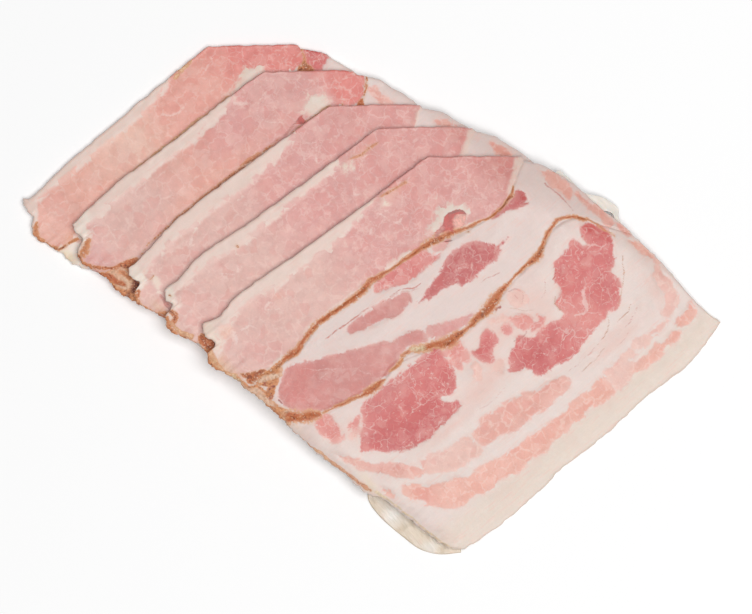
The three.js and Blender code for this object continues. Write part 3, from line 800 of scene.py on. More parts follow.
OWN_MARKS[2, "fat"] = [
    ("curled fat", [
        (-62, -50.6), (-59.2, -52.4), (-58.4, -54), (-56.2, -54.6), (-55.6, -56.6), (-60, -57.6),
        (-62.6, -56)]),
]
OWN_MARKS[2, "soft fat"] = [
    ("cream", [
        (-41.4, 13.4), (-43.4, 13.6), (-45.2, 12.2), (-46.8, 14.4), (-47.6, 18), (-46.4, 21.2),
        (-44.6, 22.8), (-41.6, 22.4), (-40, 18)]),
]
OWN_MARKS[2, "wash lean"] = [
    ("warm rose", (-42, 28, 6, 3), 0.8),
    ("warm rose", (-53, 25, 3, 2), 0.4),
    ("belly salmon", (-46.4, -20, 2.6, 22), 0.75),
    ("mauve pink", (-47, -40, 3, 7), 0.4),
]
OWN_MARKS[2, "wash fat"] = [
    ("white fat", (-44.4, 18, 2.2, 4.2), 0.9),
]
OWN_MARKS[2, "blot"] = [
    ("tan", [(-41.9, 6.4), (-40.4, 6.8), (-40, 14), (-40.2, 20), (-41.6, 20.2), (-42, 14)]),
    ("crimson", [(-44.4, 13.6), (-43.4, 12.6), (-41.6, 13), (-41.9, 11.6), (-43, 10.4), (-43.9, 11.6)]),
    ("crust", [
        (-48.6, -60.6), (-45.4, -57.2), (-44.4, -53.4), (-43, -50), (-41.5, -50.5), (-34, -50.5), (-33, -56),
        (-36, -58.6), (-44, -60)]),
    ("tan", [
        (-45.2, -56.1), (-42.6, -52.6), (-40.1, -53.1), (-38.2, -53.4), (-37.6, -55.4), (-39.5, -57),
        (-43, -57.4)], 0.75),
    ("rust", [(-42.2, -48.6), (-43.6, -50.6), (-43.8, -53), (-42, -51.2)]),
    ("maroon", [(-38.6, -52.6), (-37.4, -52.2), (-35.7, -52), (-36, -54.6), (-37, -56.4), (-37.6, -54.8)]),
    ("rust", [(-36.8, 29.4), (-35.2, 28.4), (-33.4, 27.8), (-35, 25.8), (-36.2, 26.6)]),
]
OWN_MARKS[2, "stroke"] = [
    ("burnt", [(-41.5, 20.2, 0.2), (-41.4, 19.6, 0.2)]),
    ("burnt", [(-41.2, 17.7, 0.2), (-40.9, 17.5, 0.2)]),
    ("liver", [(-44.3, 13.7, 0.15), (-43.9, 11.8, 0.15), (-43.2, 10.6, 0.12)]),
    ("bruise", [(-43.5, 10.4, 0.35), (-43.1, 8, 0.35), (-42.6, 5.4, 0.3)]),
    ("orange", [
        (-43.9, -3, 0.25), (-44, -12, 0.35), (-44.2, -20, 0.35), (-44.4, -30, 0.3), (-44.3, -36, 0.2)], 0.6),
    ("rust", [
        (-42.9, 4, 0.2), (-43.2, -4, 0.25), (-43.6, -12, 0.25), (-43.8, -20, 0.2), (-44, -28, 0.2),
        (-44.1, -35, 0.15), (-43.9, -41, 0.15), (-43.1, -46.4, 0.15)]),
    ("burnt", [
        (-43.1, -4, 0.15), (-43.4, -10, 0.2), (-43.6, -18, 0.2), (-43.9, -26, 0.18), (-44, -33, 0.12)]),
    ("rust", [
        (-42.8, -48.6, 0.45), (-44, -51.4, 0.45), (-44.7, -54.4, 0.4), (-46.4, -56.6, 0.5),
        (-48.6, -58.6, 0.45), (-50, -59.8, 0.4)]),
    ("rust", [(-46, -58.6, 0.4), (-43.6, -57.6, 0.7), (-41.2, -56.6, 0.5), (-39.4, -55.4, 0.4)]),
    ("orange", [(-43, -54.6, 0.5), (-41.4, -53.6, 0.7), (-39.6, -53.4, 0.4)]),
    ("burnt", [(-48.4, -58.8, 0.25), (-47.6, -58.2, 0.2)]),
    ("burnt", [(-43.4, -53.2, 0.15), (-42.8, -52.8, 0.2)]),
    ("orange", [(-55.4, -55.6, 0.6), (-54.2, -57.6, 1), (-53.6, -59.4, 0.9)]),
    ("orange", [(-54, -60.4, 0.5), (-51.4, -60.8, 0.55), (-49, -59.9, 0.5)]),
    ("burnt", [(-54.2, -60.5, 0.3), (-53.4, -60.2, 0.2)]),
    ("rust", [(-50.6, -60.4, 0.25), (-48, -60.2, 0.25), (-42, -58.8, 0.2), (-37, -57.2, 0.15)]),
    ("rust", [(-40.6, 34, 0.3), (-39.4, 32.6, 0.3), (-37, 29.6, 0.2)]),
]
OWN_MARKS[3, "fat"] = [
    ("curled fat", [
        (-42.8, -48.8), (-40, -50), (-37, -49.6), (-35.8, -50), (-35.8, -53.4), (-40, -53.6), (-42.8, -52)]),
    ("cream", [(-35.6, -47.6), (-33, -47.4), (-32, -49.6), (-35, -49)]),
]
OWN_MARKS[3, "wash lean"] = [
    ("pink", (-32, -44, 3, 5), 0.4),
    # Painted shade: a narrow mauve pink wash on slice 3, beside slice 4's fat edge.
    ("mauve pink", (-33.6, -40, 2, 12), 0.3),
    ("tan", (-28, -52.6, 3, 1.6), 0.5),
]
OWN_MARKS[3, "stroke"] = [
    ("orange", [
        (-35.6, -54.4, 0.5), (-34, -55.6, 0.6), (-32, -56, 0.65), (-29, -55.2, 0.6), (-26, -53.8, 0.7),
        (-22, -51.6, 0.8)]),
    ("rust", [(-35.4, -53.8, 0.4), (-34.2, -54.6, 0.3)]),
    ("orange", [(-26, -52.6, 0.8), (-24.6, -51, 0.8)]),
    ("dark crust", [(-32.8, -55.8, 0.15), (-32.3, -55.7, 0.15)]),
    ("burnt", [(-28, -54.6, 0.2), (-27.4, -54.2, 0.15)]),
    # Painted shade: a mauve line on slice 3, along the near edge of slice 4's lifted corner.
    ("bruise", [(-30.6, -49.8, 0.4), (-28, -49.9, 0.6), (-25.4, -50.2, 0.5)], 0.8),
    ("burnt", [(-35.8, -48, 0.15), (-35.8, -49, 0.15)]),
]
OWN_MARKS[4, "fat"] = [
    ("curled fat", [
        (-31.6, -46.4), (-28, -46.6), (-25.6, -47.4), (-25, -48.8), (-25.4, -50), (-30, -50), (-32, -48)]),
]
OWN_MARKS[4, "soft fat"] = [
    ("cream", [(-26.4, 14.8), (-23.2, 14.4), (-22.9, 11), (-26, 11)]),
]
OWN_MARKS[4, "wash lean"] = [
    ("belly salmon", (-25, 19, 1.5, 4), 0.6),
    ("mauve pink", (-26.4, -31.6, 1.3, 1.6), 0.7),
    ("mauve pink", (-18, -43, 5, 5), 0.35),
]
OWN_MARKS[4, "blot"] = [
    # Partly slice 4's browned rim, partly painted shade under slice 5's lifted near corner.
    ("rust", [
        (-15, -48.4), (-13.4, -47), (-9.4, -46.4), (-7.6, -47), (-7.8, -49.8), (-11, -50), (-14, -49.6)]),
]
OWN_MARKS[4, "stroke"] = [
    ("rust", [(-25.4, -50.2, 0.45), (-23.6, -50.2, 0.7), (-22.4, -51.4, 0.6)]),
    ("burnt", [(-25.6, -50.6, 0.35), (-24.8, -50.1, 0.3), (-24, -50.3, 0.15)]),
    ("orange", [
        (-24.6, -52.4, 0.6), (-21.4, -53.8, 0.85), (-18, -53.2, 0.8), (-14.6, -52, 0.8), (-11, -50.6, 0.8)]),
    ("tan", [(-22.6, -52.6, 0.6), (-19, -51.8, 0.5), (-16, -50.4, 0.8)]),
    ("dark crust", [(-17.4, -52.3, 0.25), (-16.6, -52, 0.3)]),
    ("burnt", [(-9.4, -49.4, 0.4), (-8.2, -49, 0.4)]),
    ("dark crust", [(-28.9, -47.8, 0.2), (-28.5, -47.6, 0.2)]),
    ("burnt", [(-27.1, -24.3, 0.15), (-26.8, -24.5, 0.15)]),
    ("orange", [(-24, 24, 0.3), (-24.6, 19, 0.3), (-25.4, 15, 0.2)], 0.45),
]
OWN_MARKS[5, "lean"] = [
    ("salmon", [(-12.4, -42.4), (-10.6, -40.8), (-9.8, -42.6), (-10.4, -44.2), (-11.8, -44.2)]),
    ("rose", [
        (7.5, 32.6), (9.6, 31.8), (11.2, 33), (11.8, 37), (11.2, 42), (8.5, 43), (5, 42), (5.4, 38),
        (7.4, 36)]),
]
OWN_MARKS[5, "fat"] = [
    ("cream", [
        (-16.8, -45.6), (-15.8, -44), (-12, -45.2), (-10, -44.6), (-8.8, -46), (-9, -47.4), (-14, -48)]),
]
OWN_MARKS[5, "soft fat"] = [
    ("white fat", [
        (5.2, 12), (4.2, 15.6), (3, 18.4), (1.6, 21.2), (0.8, 24.2), (0.9, 27.8), (2.4, 31), (5.2, 32.4),
        (8, 32.2), (8.6, 29), (8.8, 26), (6.4, 20), (5.9, 14.5)]),
    ("cream", [(-12, 16.4), (-8.2, 15.8), (-8.6, 12.6), (-12, 12.8)]),
]
OWN_MARKS[5, "wash lean"] = [
    ("deep red lean", (44.5, -18, 4.5, 10), 0.85),
    ("deep red lean", (41, -29, 5, 4), 0.6),
    ("mauve", (31, -16, 2.6, 9), 0.45),
    ("deep red lean", (50, 20, 6, 5.5), 0.85),
    ("light red lean", (51, 37, 5, 5), 0.8),
    ("light red lean", (46, 35, 6, 3), 0.6),
    ("warm rose", (60.5, -29, 3.4, 3), 0.35),
    ("warm rose", (41.5, -32.5, 2.4, 2), 0.5),
    ("pale mauve", (23, -11, 2.6, 6), 0.7),
    ("warm rose", (17, -38, 6, 3.5), 0.45),
    ("warm rose", (11, -34, 3, 3), 0.35),
    ("belly salmon", (-10.4, 19, 1.6, 4), 0.6),
    ("mauve pink", (-10, -29.4, 1.8, 2.4), 0.7),
    ("mauve pink", (3, -36, 2, 5), 0.5),
    ("mauve pink", (-2, -40, 5, 6), 0.4),
    ("belly salmon", (-9, -25, 1.4, 1.6), 0.5),
]
OWN_MARKS[5, "wash fat"] = [
    ("pale belly", (61.5, 40, 1.6, 9), 0.5),
    ("pale belly", (58.8, 40, 1, 8), 0.35),
    ("pale belly", (50, -12, 1.4, 9), 0.5),
    ("cave fat", (40, 4, 8, 4), 0.8),
    ("cave fat", (36, 26, 5, 8), 0.8),
    ("pale belly", (47, 1, 3, 8), 0.6),
    ("pale belly", (44, 9, 4, 3), 0.7),
    ("pale belly", (38, 17, 4, 6), 0.55),
    ("pale belly", (35, 3, 4, 4), 0.5),
    ("pale belly", (44, 26, 3, 5), 0.5),
    ("pale belly", (38, 30, 5, 4), 0.4),
    ("pale belly", (33, -33, 3, 4), 0.6),
    ("pale belly", (57.5, 57, 4, 2), 0.5),
    ("cream", (22, -44.5, 3, 1.5), 0.6),
    ("yellow cream", (47, -38.8, 4, 1.4), 0.5),
]
OWN_MARKS[5, "wash both"] = [
    ("inner fat", (6.6, -40.6, 1.3, 3.0), 0.55),
]
OWN_MARKS[5, "blot"] = [
    ("crust", [
        (-0.6, -50.4), (1.2, -48), (5, -46.9), (6.4, -44.7), (9, -44.5), (12, -44.9), (15, -43.9),
        (18.4, -42.8), (20.6, -46.4), (12, -47.6), (5, -48.8), (1, -50.2)]),
    ("tan", [
        (2.6, -48.4), (5.4, -47.4), (7, -45.4), (10, -45.2), (14, -44.8), (12, -46.6), (6, -48.2)], 0.7),
    ("crust", [
        (5.5, -35.4), (7.4, -38), (10.2, -42.2), (8.4, -43), (6.6, -44.6), (5.2, -44.4), (4.8, -41),
        (5, -38)]),
    ("rust", [(4.3, -40.8), (4.8, -42.5), (5.3, -45), (4.8, -46.4), (2.8, -46.7), (0.9, -46.9), (2.6, -44)]),
    ("orange", [(8.6, -41.8), (10.4, -42.4), (12, -44.3), (11, -45.2), (9.2, -44.6)]),
    ("crimson", [
        (3.8, 26.4), (4.2, 28.2), (4.9, 29.9), (6.9, 30.1), (7, 29), (5.9, 28.3), (5.6, 27), (6.4, 26),
        (8, 25.1), (9.2, 24.4), (8.6, 22.8), (8, 21), (7.2, 19.4), (6, 19), (5.5, 20.5), (5.4, 22.6),
        (4.4, 24.2)]),
    ("belly pink", [
        (5.5, 28), (6.6, 29.6), (7.7, 29.2), (8.6, 27.6), (8.9, 25.8), (8.2, 25), (6.8, 25.9), (5.8, 26.9)]),
]
OWN_MARKS[5, "stroke"] = [
    ("tan", [(5.8, -43.8, 0.5), (6.6, -41, 0.7), (8, -38.6, 0.5), (6.8, -36.6, 0.3)], 0.7),
    ("orange", [(-8.6, -50.2, 0.9), (-6, -51.4, 1.1), (-3, -50.8, 0.8), (0, -50, 0.9)]),
    ("tan", [(-9.2, -48.6, 0.6), (-7.6, -49.8, 0.8), (-3, -49.9, 0.5), (0.4, -48.4, 0.6)]),
    ("burnt", [(4.4, -40.9, 0.18), (3.2, -43, 0.15), (1.2, -46.6, 0.15)]),
    ("burnt", [(4.4, -41.2, 0.2), (4.6, -42.6, 0.3), (3.9, -43.2, 0.15), (5.2, -45, 0.2)]),
    ("liver", [(7.1, -42.9, 0.3), (7.8, -43.2, 0.35)]),
    ("liver", [(9, -42.2, 0.25), (9.2, -43, 0.25)]),
    ("liver", [(11.5, -43.9, 0.35), (11.3, -44.9, 0.35)]),
    ("liver", [(13.4, -43.4, 0.35), (14.6, -43.3, 0.25)]),
    ("olive tan", [(-0.4, -49, 0.3), (1.4, -48.6, 0.4), (2.4, -48.3, 0.2)]),
    ("tan", [(22, -46.4, 0.35), (28, -45, 0.4), (33, -43.6, 0.4), (40, -41.9, 0.4)], 0.8),
    ("orange", [(36, -42.9, 0.15), (40, -41.9, 0.25), (45, -41, 0.4), (49, -39.7, 0.45)], 0.65),
    # Painted shade: a thin olive tan line just inside slice 5's near rim, over the near membrane.
    ("olive tan", [
        (50.4, -38.7, 0.4), (56, -37.2, 0.3), (62, -36, 0.25), (69, -34.8, 0.25), (76, -32.6, 0.3)], 0.8),
    ("liver", [(7, 29.9, 0.25), (5.4, 29.8, 0.3), (4.5, 28.2, 0.3), (4, 26.2, 0.3)]),
    ("bruise", [(7.2, 29.8, 0.2), (8.4, 28.6, 0.15), (9.1, 26.8, 0.15)], 0.7),
    ("crimson", [(4.4, 25, 0.5), (6.6, 24.4, 0.6), (8.8, 24.3, 0.35)]),
    ("bruise", [(5.8, 22.4, 0.5), (6.4, 19.6, 0.45)]),
    ("burnt", [(11.4, 43.6, 0.2), (11.7, 41, 0.3), (11.9, 38, 0.2)]),
    ("burnt", [(10.2, 27.9, 0.2), (10.6, 27.7, 0.2)]),
    ("dark crust", [(10.9, 26.8, 0.2), (11.5, 27.5, 0.25)]),
    ("liver", [(32.8, 19.2, 0.3), (33.2, 20.6, 0.35)]),
    ("dark crust", [(30.2, 17.1, 0.25), (31, 16.4, 0.2), (31.8, 15.4, 0.25)]),
    ("dark crust", [(28.1, 40.4, 0.3), (28.3, 39.2, 0.35)]),
    ("thread", [(13.7, 8.2, 0.14), (13.3, 5.5, 0.16), (12, 3, 0.14), (11, 0, 0.12), (10.8, -4, 0.1)]),
    ("thread", [(14.2, 6.6, 0.1), (13.2, 3.8, 0.12), (11.8, 1, 0.12), (11.4, -2, 0.1)], 0.6),
    ("thread", [(9.8, -6, 0.12), (9.5, -9, 0.18), (9.2, -14, 0.2), (8.8, -18, 0.22), (8.6, -22, 0.15)]),
    ("crimson", [(34.4, 39.5, 0.14), (35.6, 38.4, 0.2), (36.6, 37, 0.22)], 0.8),
    ("bruise", [(35.3, 35.2, 0.12), (36.6, 34.4, 0.15), (38, 33, 0.15), (38.5, 31, 0.1)], 0.7),
    ("brown thread", [(40.6, 34.6, 0.1), (42.2, 33.2, 0.2), (45, 33.4, 0.15)]),
    ("brown thread", [
        (44, 56.3, 0.25), (47, 54.3, 0.22), (49, 52, 0.18), (51, 50, 0.16), (52.8, 47.6, 0.2),
        (54, 46, 0.1)]),
    ("brown thread", [(55.6, 49.4, 0.12), (57, 47, 0.2), (57.4, 43, 0.12)], 0.8),
    ("brown thread", [(53.5, 42.6, 0.1), (56, 41, 0.14), (57.8, 38.4, 0.18), (58.5, 35, 0.1)], 0.8),
    ("thread", [(25.4, 26.8, 0.16), (25, 24.6, 0.14), (24.2, 21, 0.1)], 0.8),
    ("bruise", [(14.6, 52.6, 0.3), (16, 53, 0.2), (19, 53.6, 0.16), (25.6, 53.8, 0.14)], 0.8),
    ("orange", [(29.6, 54.9, 0.2), (33, 56.4, 0.18), (36, 57.4, 0.14), (38.5, 58.3, 0.1)], 0.7),
    ("thread", [(61, 46, 0.1), (61.9, 42, 0.12), (62.6, 36, 0.1)], 0.5),
    ("thread", [(58.6, 34, 0.1), (59.2, 29, 0.14), (59, 24, 0.1)], 0.6),
    ("thread", [(57.6, 50.5, 0.12), (59.4, 46, 0.14), (60, 41, 0.1)], 0.6),
    ("brown thread", [(60.6, 36, 0.12), (61.4, 31, 0.16), (61.2, 26.5, 0.1)], 0.7),
    ("thread", [(50.8, 8, 0.1), (51.6, 3, 0.14), (51, -3, 0.1)], 0.45),
    ("crimson", [(30.2, -29.8, 0.14), (31.6, -30.6, 0.12)], 0.5),
    ("crimson", [
        (31.4, -34, 0.12), (31.2, -32.6, 0.12), (31.8, -31.4, 0.12), (32.3, -32.6, 0.12),
        (32, -34.2, 0.12)], 0.45),
    ("crimson", [(34.3, -33.8, 0.1), (34.2, -32.2, 0.14)], 0.4),
    ("bruise", [(31.2, 25.4, 0.2), (32.4, 27.6, 0.25), (34.6, 27.8, 0.2), (36, 26.2, 0.15)], 0.6),
    ("bruise", [(33, 26, 0.15), (34.4, 25.9, 0.2)], 0.7),
    ("brown thread", [(34, 22, 0.1), (37, 24.6, 0.12), (40, 27.8, 0.1)], 0.6),
    ("bruise", [(42.7, 22, 0.2), (43.2, 20, 0.25), (42.8, 17.6, 0.15)], 0.8),
    ("orange", [(-10.6, 23, 0.3), (-11.4, 18, 0.35), (-12, 14.8, 0.2)], 0.4),
]

# Pale lines in the lean of one slice, in its own plan places.
OWN_WEBS = {}
OWN_WEBS[1] = [
    [(-56.8, 26.4, 0.25), (-55.4, 25.4, 0.3), (-54.6, 26.6, 0.2)],
    [(-54, 25, 0.2), (-53.2, 26.6, 0.25), (-52.4, 27.4, 0.15)],
    [(-73.6, 6, 0.4), (-71.6, 1, 0.35), (-70.8, -1.6, 0.3)],
    [(-68.4, -8.6, 0.3), (-67.2, -11, 0.4), (-67, -14, 0.35), (-69.4, -17, 0.3)],
]
OWN_WEBS[2] = [
    [(-55.6, 10, 0.35), (-54.6, 6.6, 0.3), (-52, 3.4, 0.35), (-49.8, 0.8, 0.2)],
    [(-51.6, 3.6, 0.25), (-49, 4.4, 0.3), (-46.4, 7, 0.3), (-44.6, 7.6, 0.2)],
    [(-58.6, 0.6, 0.5), (-57, 2.4, 0.6), (-55.6, 4, 0.4)],
]
OWN_WEBS[3] = [
    [(-37, -33, 0.5), (-36.2, -34.6, 0.5), (-35.4, -33.6, 0.3)],
    [(-38, 15, 0.2), (-36.4, 12, 0.25), (-36, 10, 0.2), (-37.6, 8, 0.25)],
    [(-36, 11.6, 0.25), (-33, 9, 0.3), (-31.6, 7.6, 0.3), (-29, 8.4, 0.25)],
]
OWN_WEBS[4] = [
    [(-23.6, 19.4, 0.3), (-23, 16.6, 0.3), (-21.4, 15.2, 0.25)],
    [(-19, 12, 0.25), (-17.4, 10, 0.45), (-15.8, 11.4, 0.25)],
    [(-23, -27.4, 0.3), (-21.4, -30, 0.4), (-24.4, -33.4, 0.3)],
]
OWN_WEBS[5] = [
    [(-8.6, -27, 0.3), (-9.4, -28.6, 0.5), (-8.2, -29.6, 0.3), (-6, -26.4, 0.3)],
    [(-8.4, -38.4, 0.4), (-7.6, -36, 0.35), (-6, -35, 0.25)],
    [(-9, -40.6, 0.7), (-7.4, -41.6, 0.6), (-6.4, -42.4, 0.4)],
    [(-9.4, 11, 0.3), (-7.6, 12.2, 0.3), (-5, 12.4, 0.25), (-3.6, 11.4, 0.2)],
    [(-8, 19.4, 0.3), (-6.6, 17.8, 0.35), (-6, 16.8, 0.2)],
    [(-3.6, 15.4, 0.4), (-3, 14.2, 0.6), (-4.4, 13.2, 0.2)],
    [(-6.8, 7, 0.5), (-6, 5.8, 0.4)],
]

# The colour of the outer turn's lean along each slice, as (y, colour).
LEAN_ALONG = {
    1: [
        (-64, "belly salmon"), (-56, "belly pink"), (-45, "belly salmon"), (-28, "salmon"),
        (-14, "light belly"), (0, "light belly"), (10, "warm rose"), (24, "warm rose")],
    2: [
        (-58, "mauve pink"), (-50, "pink"), (-35, "pink"), (-20, "belly pink"), (-5, "rose pink"),
        (12, "mauve pink"), (20, "mauve pink"), (30, "warm rose")],
    3: [(-54, "pink"), (-45, "pink"), (-20, "pink"), (-5, "rose pink"), (8, "mauve pink"), (20, "rose")],
    4: [(-52, "pink"), (-44, "pink"), (-20, "pink"), (-5, "rose pink"), (8, "mauve pink"), (20, "rose")],
    5: [
        (-50, "tan"), (-46, "pink"), (-30, "pink"), (-12, "pink"), (2, "rose pink"), (12, "mauve pink"),
        (22, "rose"), (40, "rose")],
}


# ---- painting a slice's pattern ----


def rounded(a, b, c, d, steps):
    """Places on the stretches from each b to its c, bent by the a before and the d after them."""
    w = (np.arange(steps) / steps)[:, None, None]
    curve = b + 0.5 * w * (c - a) + w**2 * (a - 2.5 * b + 2 * c - 0.5 * d)
    curve = curve + w**3 * (1.5 * (b - c) + 0.5 * (d - a))
    return curve.transpose(1, 0, 2).reshape(-1, b.shape[1])


def smooth_ring(points, steps=6):
    """A closed outline with round stretches through its points."""
    b = np.asarray(points, float)
    a, c, d = (np.roll(b, k, axis=0) for k in (1, -1, -2))
    return rounded(a, b, c, d, steps)


def smooth_line(points, steps=5):
    """An open line through its points, with their half widths carried along."""
    through = np.asarray(points, float)
    padded = np.vstack([2 * through[0] - through[1], through, 2 * through[-1] - through[-2]])
    stretches = rounded(padded[:-3], padded[1:-2], padded[2:-1], padded[3:], steps)
    return np.vstack([stretches, through[-1]])


def smooth_step(value, low, high):
    part = np.clip((value - low) / (high - low), 0, 1)
    return part * part * (3 - 2 * part)


class Pattern:
    """The lean, fat, browned seams and threads of one slice, at the plan places of its vertices."""

    REACH = 4.0  # how far past an outline its colour still counts
    SOFTEST = 0.45  # the least run, in millimetres, over which a mark fades in the mesh
    UNDER_NARROWING = 0.45  # how wide a carried mark is on a covered slice, as a share
    WARPS = [(0.3, 2.3), (0.13, 0.9)]  # how far the outlines waver, and over what run
    # How strongly fine threads and pale borders between lobules show in each kind of lean.
    LINES_IN = {
        "mauve": (0.25, 0.12),
        "pale mauve": (0.2, 0.12),
        "deep rose": (0.6, 0.2),
        "red lean": (0.8, 0.25),
        "belly pink": (0.3, 0.6),
        "belly salmon": (0.3, 0.6),
        "pale belly": (0.2, 0.5),
    }

    # The browning colours. Crust crumbles, and specks and loose grains gather on it.
    BROWNED = ("rust", "crust", "orange", "dark crust", "burnt")
    TAN_CRUST = 0.5  # how much crust tan browning has, whatever lies under it
    # The outer turn's lean: how far it stays off the seam, and how its threads, borders and rims look.
    HALO = 0.9
    HALO_SWAY = [(0.35, 5, 3)]
    OUTER_VEINS = 0.42
    OUTER_LOBES = 3.6

    def __init__(self, number, x, y):
        self.number = number
        self.narrowing = 1 if number == TOP else self.UNDER_NARROWING
        self.warped_x = self.warped(x, x, y, (number, 20 + number))
        self.warped_y = self.warped(y, x, y, (40 + number, 60))
        self.lean = np.full(x.shape, -self.REACH)
        self.lean_tint = np.tile(COLOUR["pink"], (x.size, 1))
        self.fat_tint = np.tile(COLOUR["fat"], (x.size, 1))
        self.stain = np.tile([*COLOUR["orange"], 0], (x.size, 1))
        grounds = (0.0, 0.0, 0.5, 0.5, 1.3)
        self.web, self.crust, self.marbling, self.veins, self.lobes = (
            np.full(x.shape, ground) for ground in grounds)

    def warped(self, place, x, y, seeds):
        for (reach, cell), seed in zip(self.WARPS, seeds):
            place = place + reach * lattice_noise(x, y, cell, seed)
        return place

    def near(self, line, reach):
        low, high = line.min(0)[:2] - reach, line.max(0)[:2] + reach
        inside = (self.warped_x > low[0]) & (self.warped_x < high[0])
        return np.flatnonzero(inside & (self.warped_y > low[1]) & (self.warped_y < high[1]))

    def depth_in(self, points):
        ring = smooth_ring(points)
        at = self.near(ring, self.REACH)
        return at, depth_in_ring(self.warped_x[at], self.warped_y[at], ring)

    def cover_of_line(self, points):
        line = smooth_line(points)
        at = self.near(line, 2.2 * line[:, 2].max() + self.SOFTEST)
        away, which, part = distance_to_segments(
            self.warped_x[at], self.warped_y[at], line[:-1, :2], line[1:, :2])
        half = line[which, 2] * (1 - part) + line[which + 1, 2] * part
        return at, np.clip(0.5 + 0.5 * (half - away) / np.maximum(half, self.SOFTEST), 0, 1)

    @staticmethod
    def tint(field, at, colour, share):
        field[at] += (COLOUR[colour] - field[at]) * share[:, None]

    def add_lean(self, colour, points):
        at, depth = self.depth_in(points)
        self.lean[at] = np.maximum(self.lean[at], depth)
        self.tint(self.lean_tint, at, colour, np.exp(np.minimum(depth, 0) / 0.8))
        marbled, veined = self.LINES_IN.get(colour, (0.6, 0.5))
        self.marbling[at] = np.where(depth > -0.5, marbled, self.marbling[at])
        self.veins[at] = np.where(depth > -0.5, veined, self.veins[at])

    def add_fat(self, colour, points):
        at, depth = self.depth_in(points)
        self.lean[at] = np.minimum(self.lean[at], -depth)
        self.tint(self.fat_tint, at, colour, smooth_step(depth, -1.2, 0.6))

    def add_soft_fat(self, colour, points):
        """Fat that the lean around it breaks into, over a wide border."""
        at, depth = self.depth_in(points)
        self.lean[at] = np.minimum(self.lean[at], 0.55 - 0.4 * depth)
        self.lobes[at] = np.where(depth > -2, 1.6, self.lobes[at])
        self.tint(self.fat_tint, at, colour, smooth_step(depth, -2, 0.6))

    def add_web(self, points):
        at, cover = self.cover_of_line(points)
        self.web[at] = np.maximum(self.web[at], cover)

    def add_stain(self, at, colour, cover, strength):
        lean_share = smooth_step(self.lean[at], -0.3, 0.3)[:, None]
        ground = self.fat_tint[at] * (1 - lean_share) + self.lean_tint[at] * lean_share
        paint = ground + (COLOUR[colour] - ground) * strength
        share = np.where(cover >= self.stain[at, 3], 1, smooth_step(cover, 0.3, 0.6))[:, None]
        self.stain[at, :3] = self.stain[at, :3] * (1 - share) + paint * share
        self.stain[at, 3] = np.maximum(self.stain[at, 3], cover)
        if colour == "tan":
            self.crust[at] += (self.TAN_CRUST - self.crust[at]) * cover
        elif colour in self.BROWNED:
            self.crust[at] = np.maximum(self.crust[at], cover)

    def add_blot(self, colour, points, strength=1.0):
        at, depth = self.depth_in(points)
        self.add_stain(at, colour, np.clip(0.5 + 0.5 * depth / self.SOFTEST, 0, 1), strength)

    def add_stroke(self, colour, points, strength=1.0):
        at, cover = self.cover_of_line(points)
        self.add_stain(at, colour, cover, strength)

    def add_wash(self, fields, colour, spot, strength):
        x, y, run_x, run_y = spot
        far = ((self.warped_x - x) / run_x) ** 2 + ((self.warped_y - y) / run_y) ** 2
        at = np.flatnonzero(far < 6)
        for field in fields:
            self.tint(field, at, colour, strength * np.exp(-far[at]))

    def add_marks(self, shared):
        """Adds the shared marks and the slice's own: lean and fat, then washes, and stains over those."""
        painters = {
            "lean": self.add_lean,
            "fat": self.add_fat,
            "soft fat": self.add_soft_fat,
            "wash lean": partial(self.add_wash, [self.lean_tint]),
            "wash fat": partial(self.add_wash, [self.fat_tint]),
            "wash both": partial(self.add_wash, [self.lean_tint, self.fat_tint]),
            "blot": self.add_blot,
            "stroke": self.add_stroke,
        }
        for kind, paint in painters.items():
            for mark in [*shared.get(kind, []), *OWN_MARKS.get((self.number, kind), [])]:
                paint(*mark)

    def carried(self, points):
        """A line or outline of the top slice's pattern, moved to this slice, with its half widths."""
        places = carry(self.number, [point[:2] for point in points])
        widths = [tuple(self.narrowing * half for half in point[2:]) for point in points]
        return [(*place, *width) for place, width in zip(places, widths)]

    def add_turns(self, seam_line):
        """The ground colours of the turns, and the lean of the outer turn."""
        x, y = self.warped_x, self.warped_y
        border_y, border_x = np.transpose(FAT_BORDERS[self.number])
        border = np.interp(y, border_y, border_x)
        seam_x = np.interp(y, seam_line[:, 1], seam_line[:, 0])
        halo = self.HALO + relief(x, y, self.HALO_SWAY)
        in_outer_turn = x < seam_x
        depth = np.minimum(x - border, seam_x - halo - x)
        self.lean = np.where(in_outer_turn, np.clip(depth, -self.REACH, self.REACH), self.lean)
        stops_y, names = zip(*LEAN_ALONG[self.number])
        for channel in range(3):
            stops = [COLOUR[name][channel] for name in names]
            self.lean_tint[:, channel] = np.interp(y, stops_y, stops)
        self.marbling[:] = np.where(in_outer_turn, 0.1 + 0.4 * smooth_step(y, -12, 14), self.marbling)
        self.veins[:] = np.where(in_outer_turn, self.OUTER_VEINS, self.veins)
        self.lobes[:] = np.where(in_outer_turn, self.OUTER_LOBES, self.lobes)
        top_x, top_y = carried_back(self.number, x, y)
        second_seam = np.interp(top_y, *np.transpose(SEAMS[1]["line"])[::-1])
        everywhere = np.arange(x.size)
        self.tint(self.fat_tint, everywhere, "cave fat", smooth_step(second_seam + 8 - top_x, 0, 8))
        self.tint(self.fat_tint, everywhere, "inner fat", smooth_step(second_seam - top_x, -1, 1))
        self.tint(self.fat_tint, everywhere, "edge fat", smooth_step(seam_x - x, -1, 0))
        self.tint(self.fat_tint, everywhere, "outer fat", smooth_step(top_x, 66, 74))

    def fields(self):
        """What is painted on the mesh: numbers by name, and colours by name."""
        lean = np.clip(self.lean, -2, 2)
        crumb = smooth_step(self.crust, 0.55, 0.95)
        floats = {"lean": lean, "web": self.web, "marbling": self.marbling, "veins": self.veins,
                  "lobes": self.lobes, "crust": self.crust, "crumb": crumb}
        tints = {"lean_tint": self.lean_tint, "fat_tint": self.fat_tint}
        colours = {name: np.column_stack([rgb, np.ones(lean.size)]) for name, rgb in tints.items()}
        colours["stain"] = self.stain
        return floats, colours


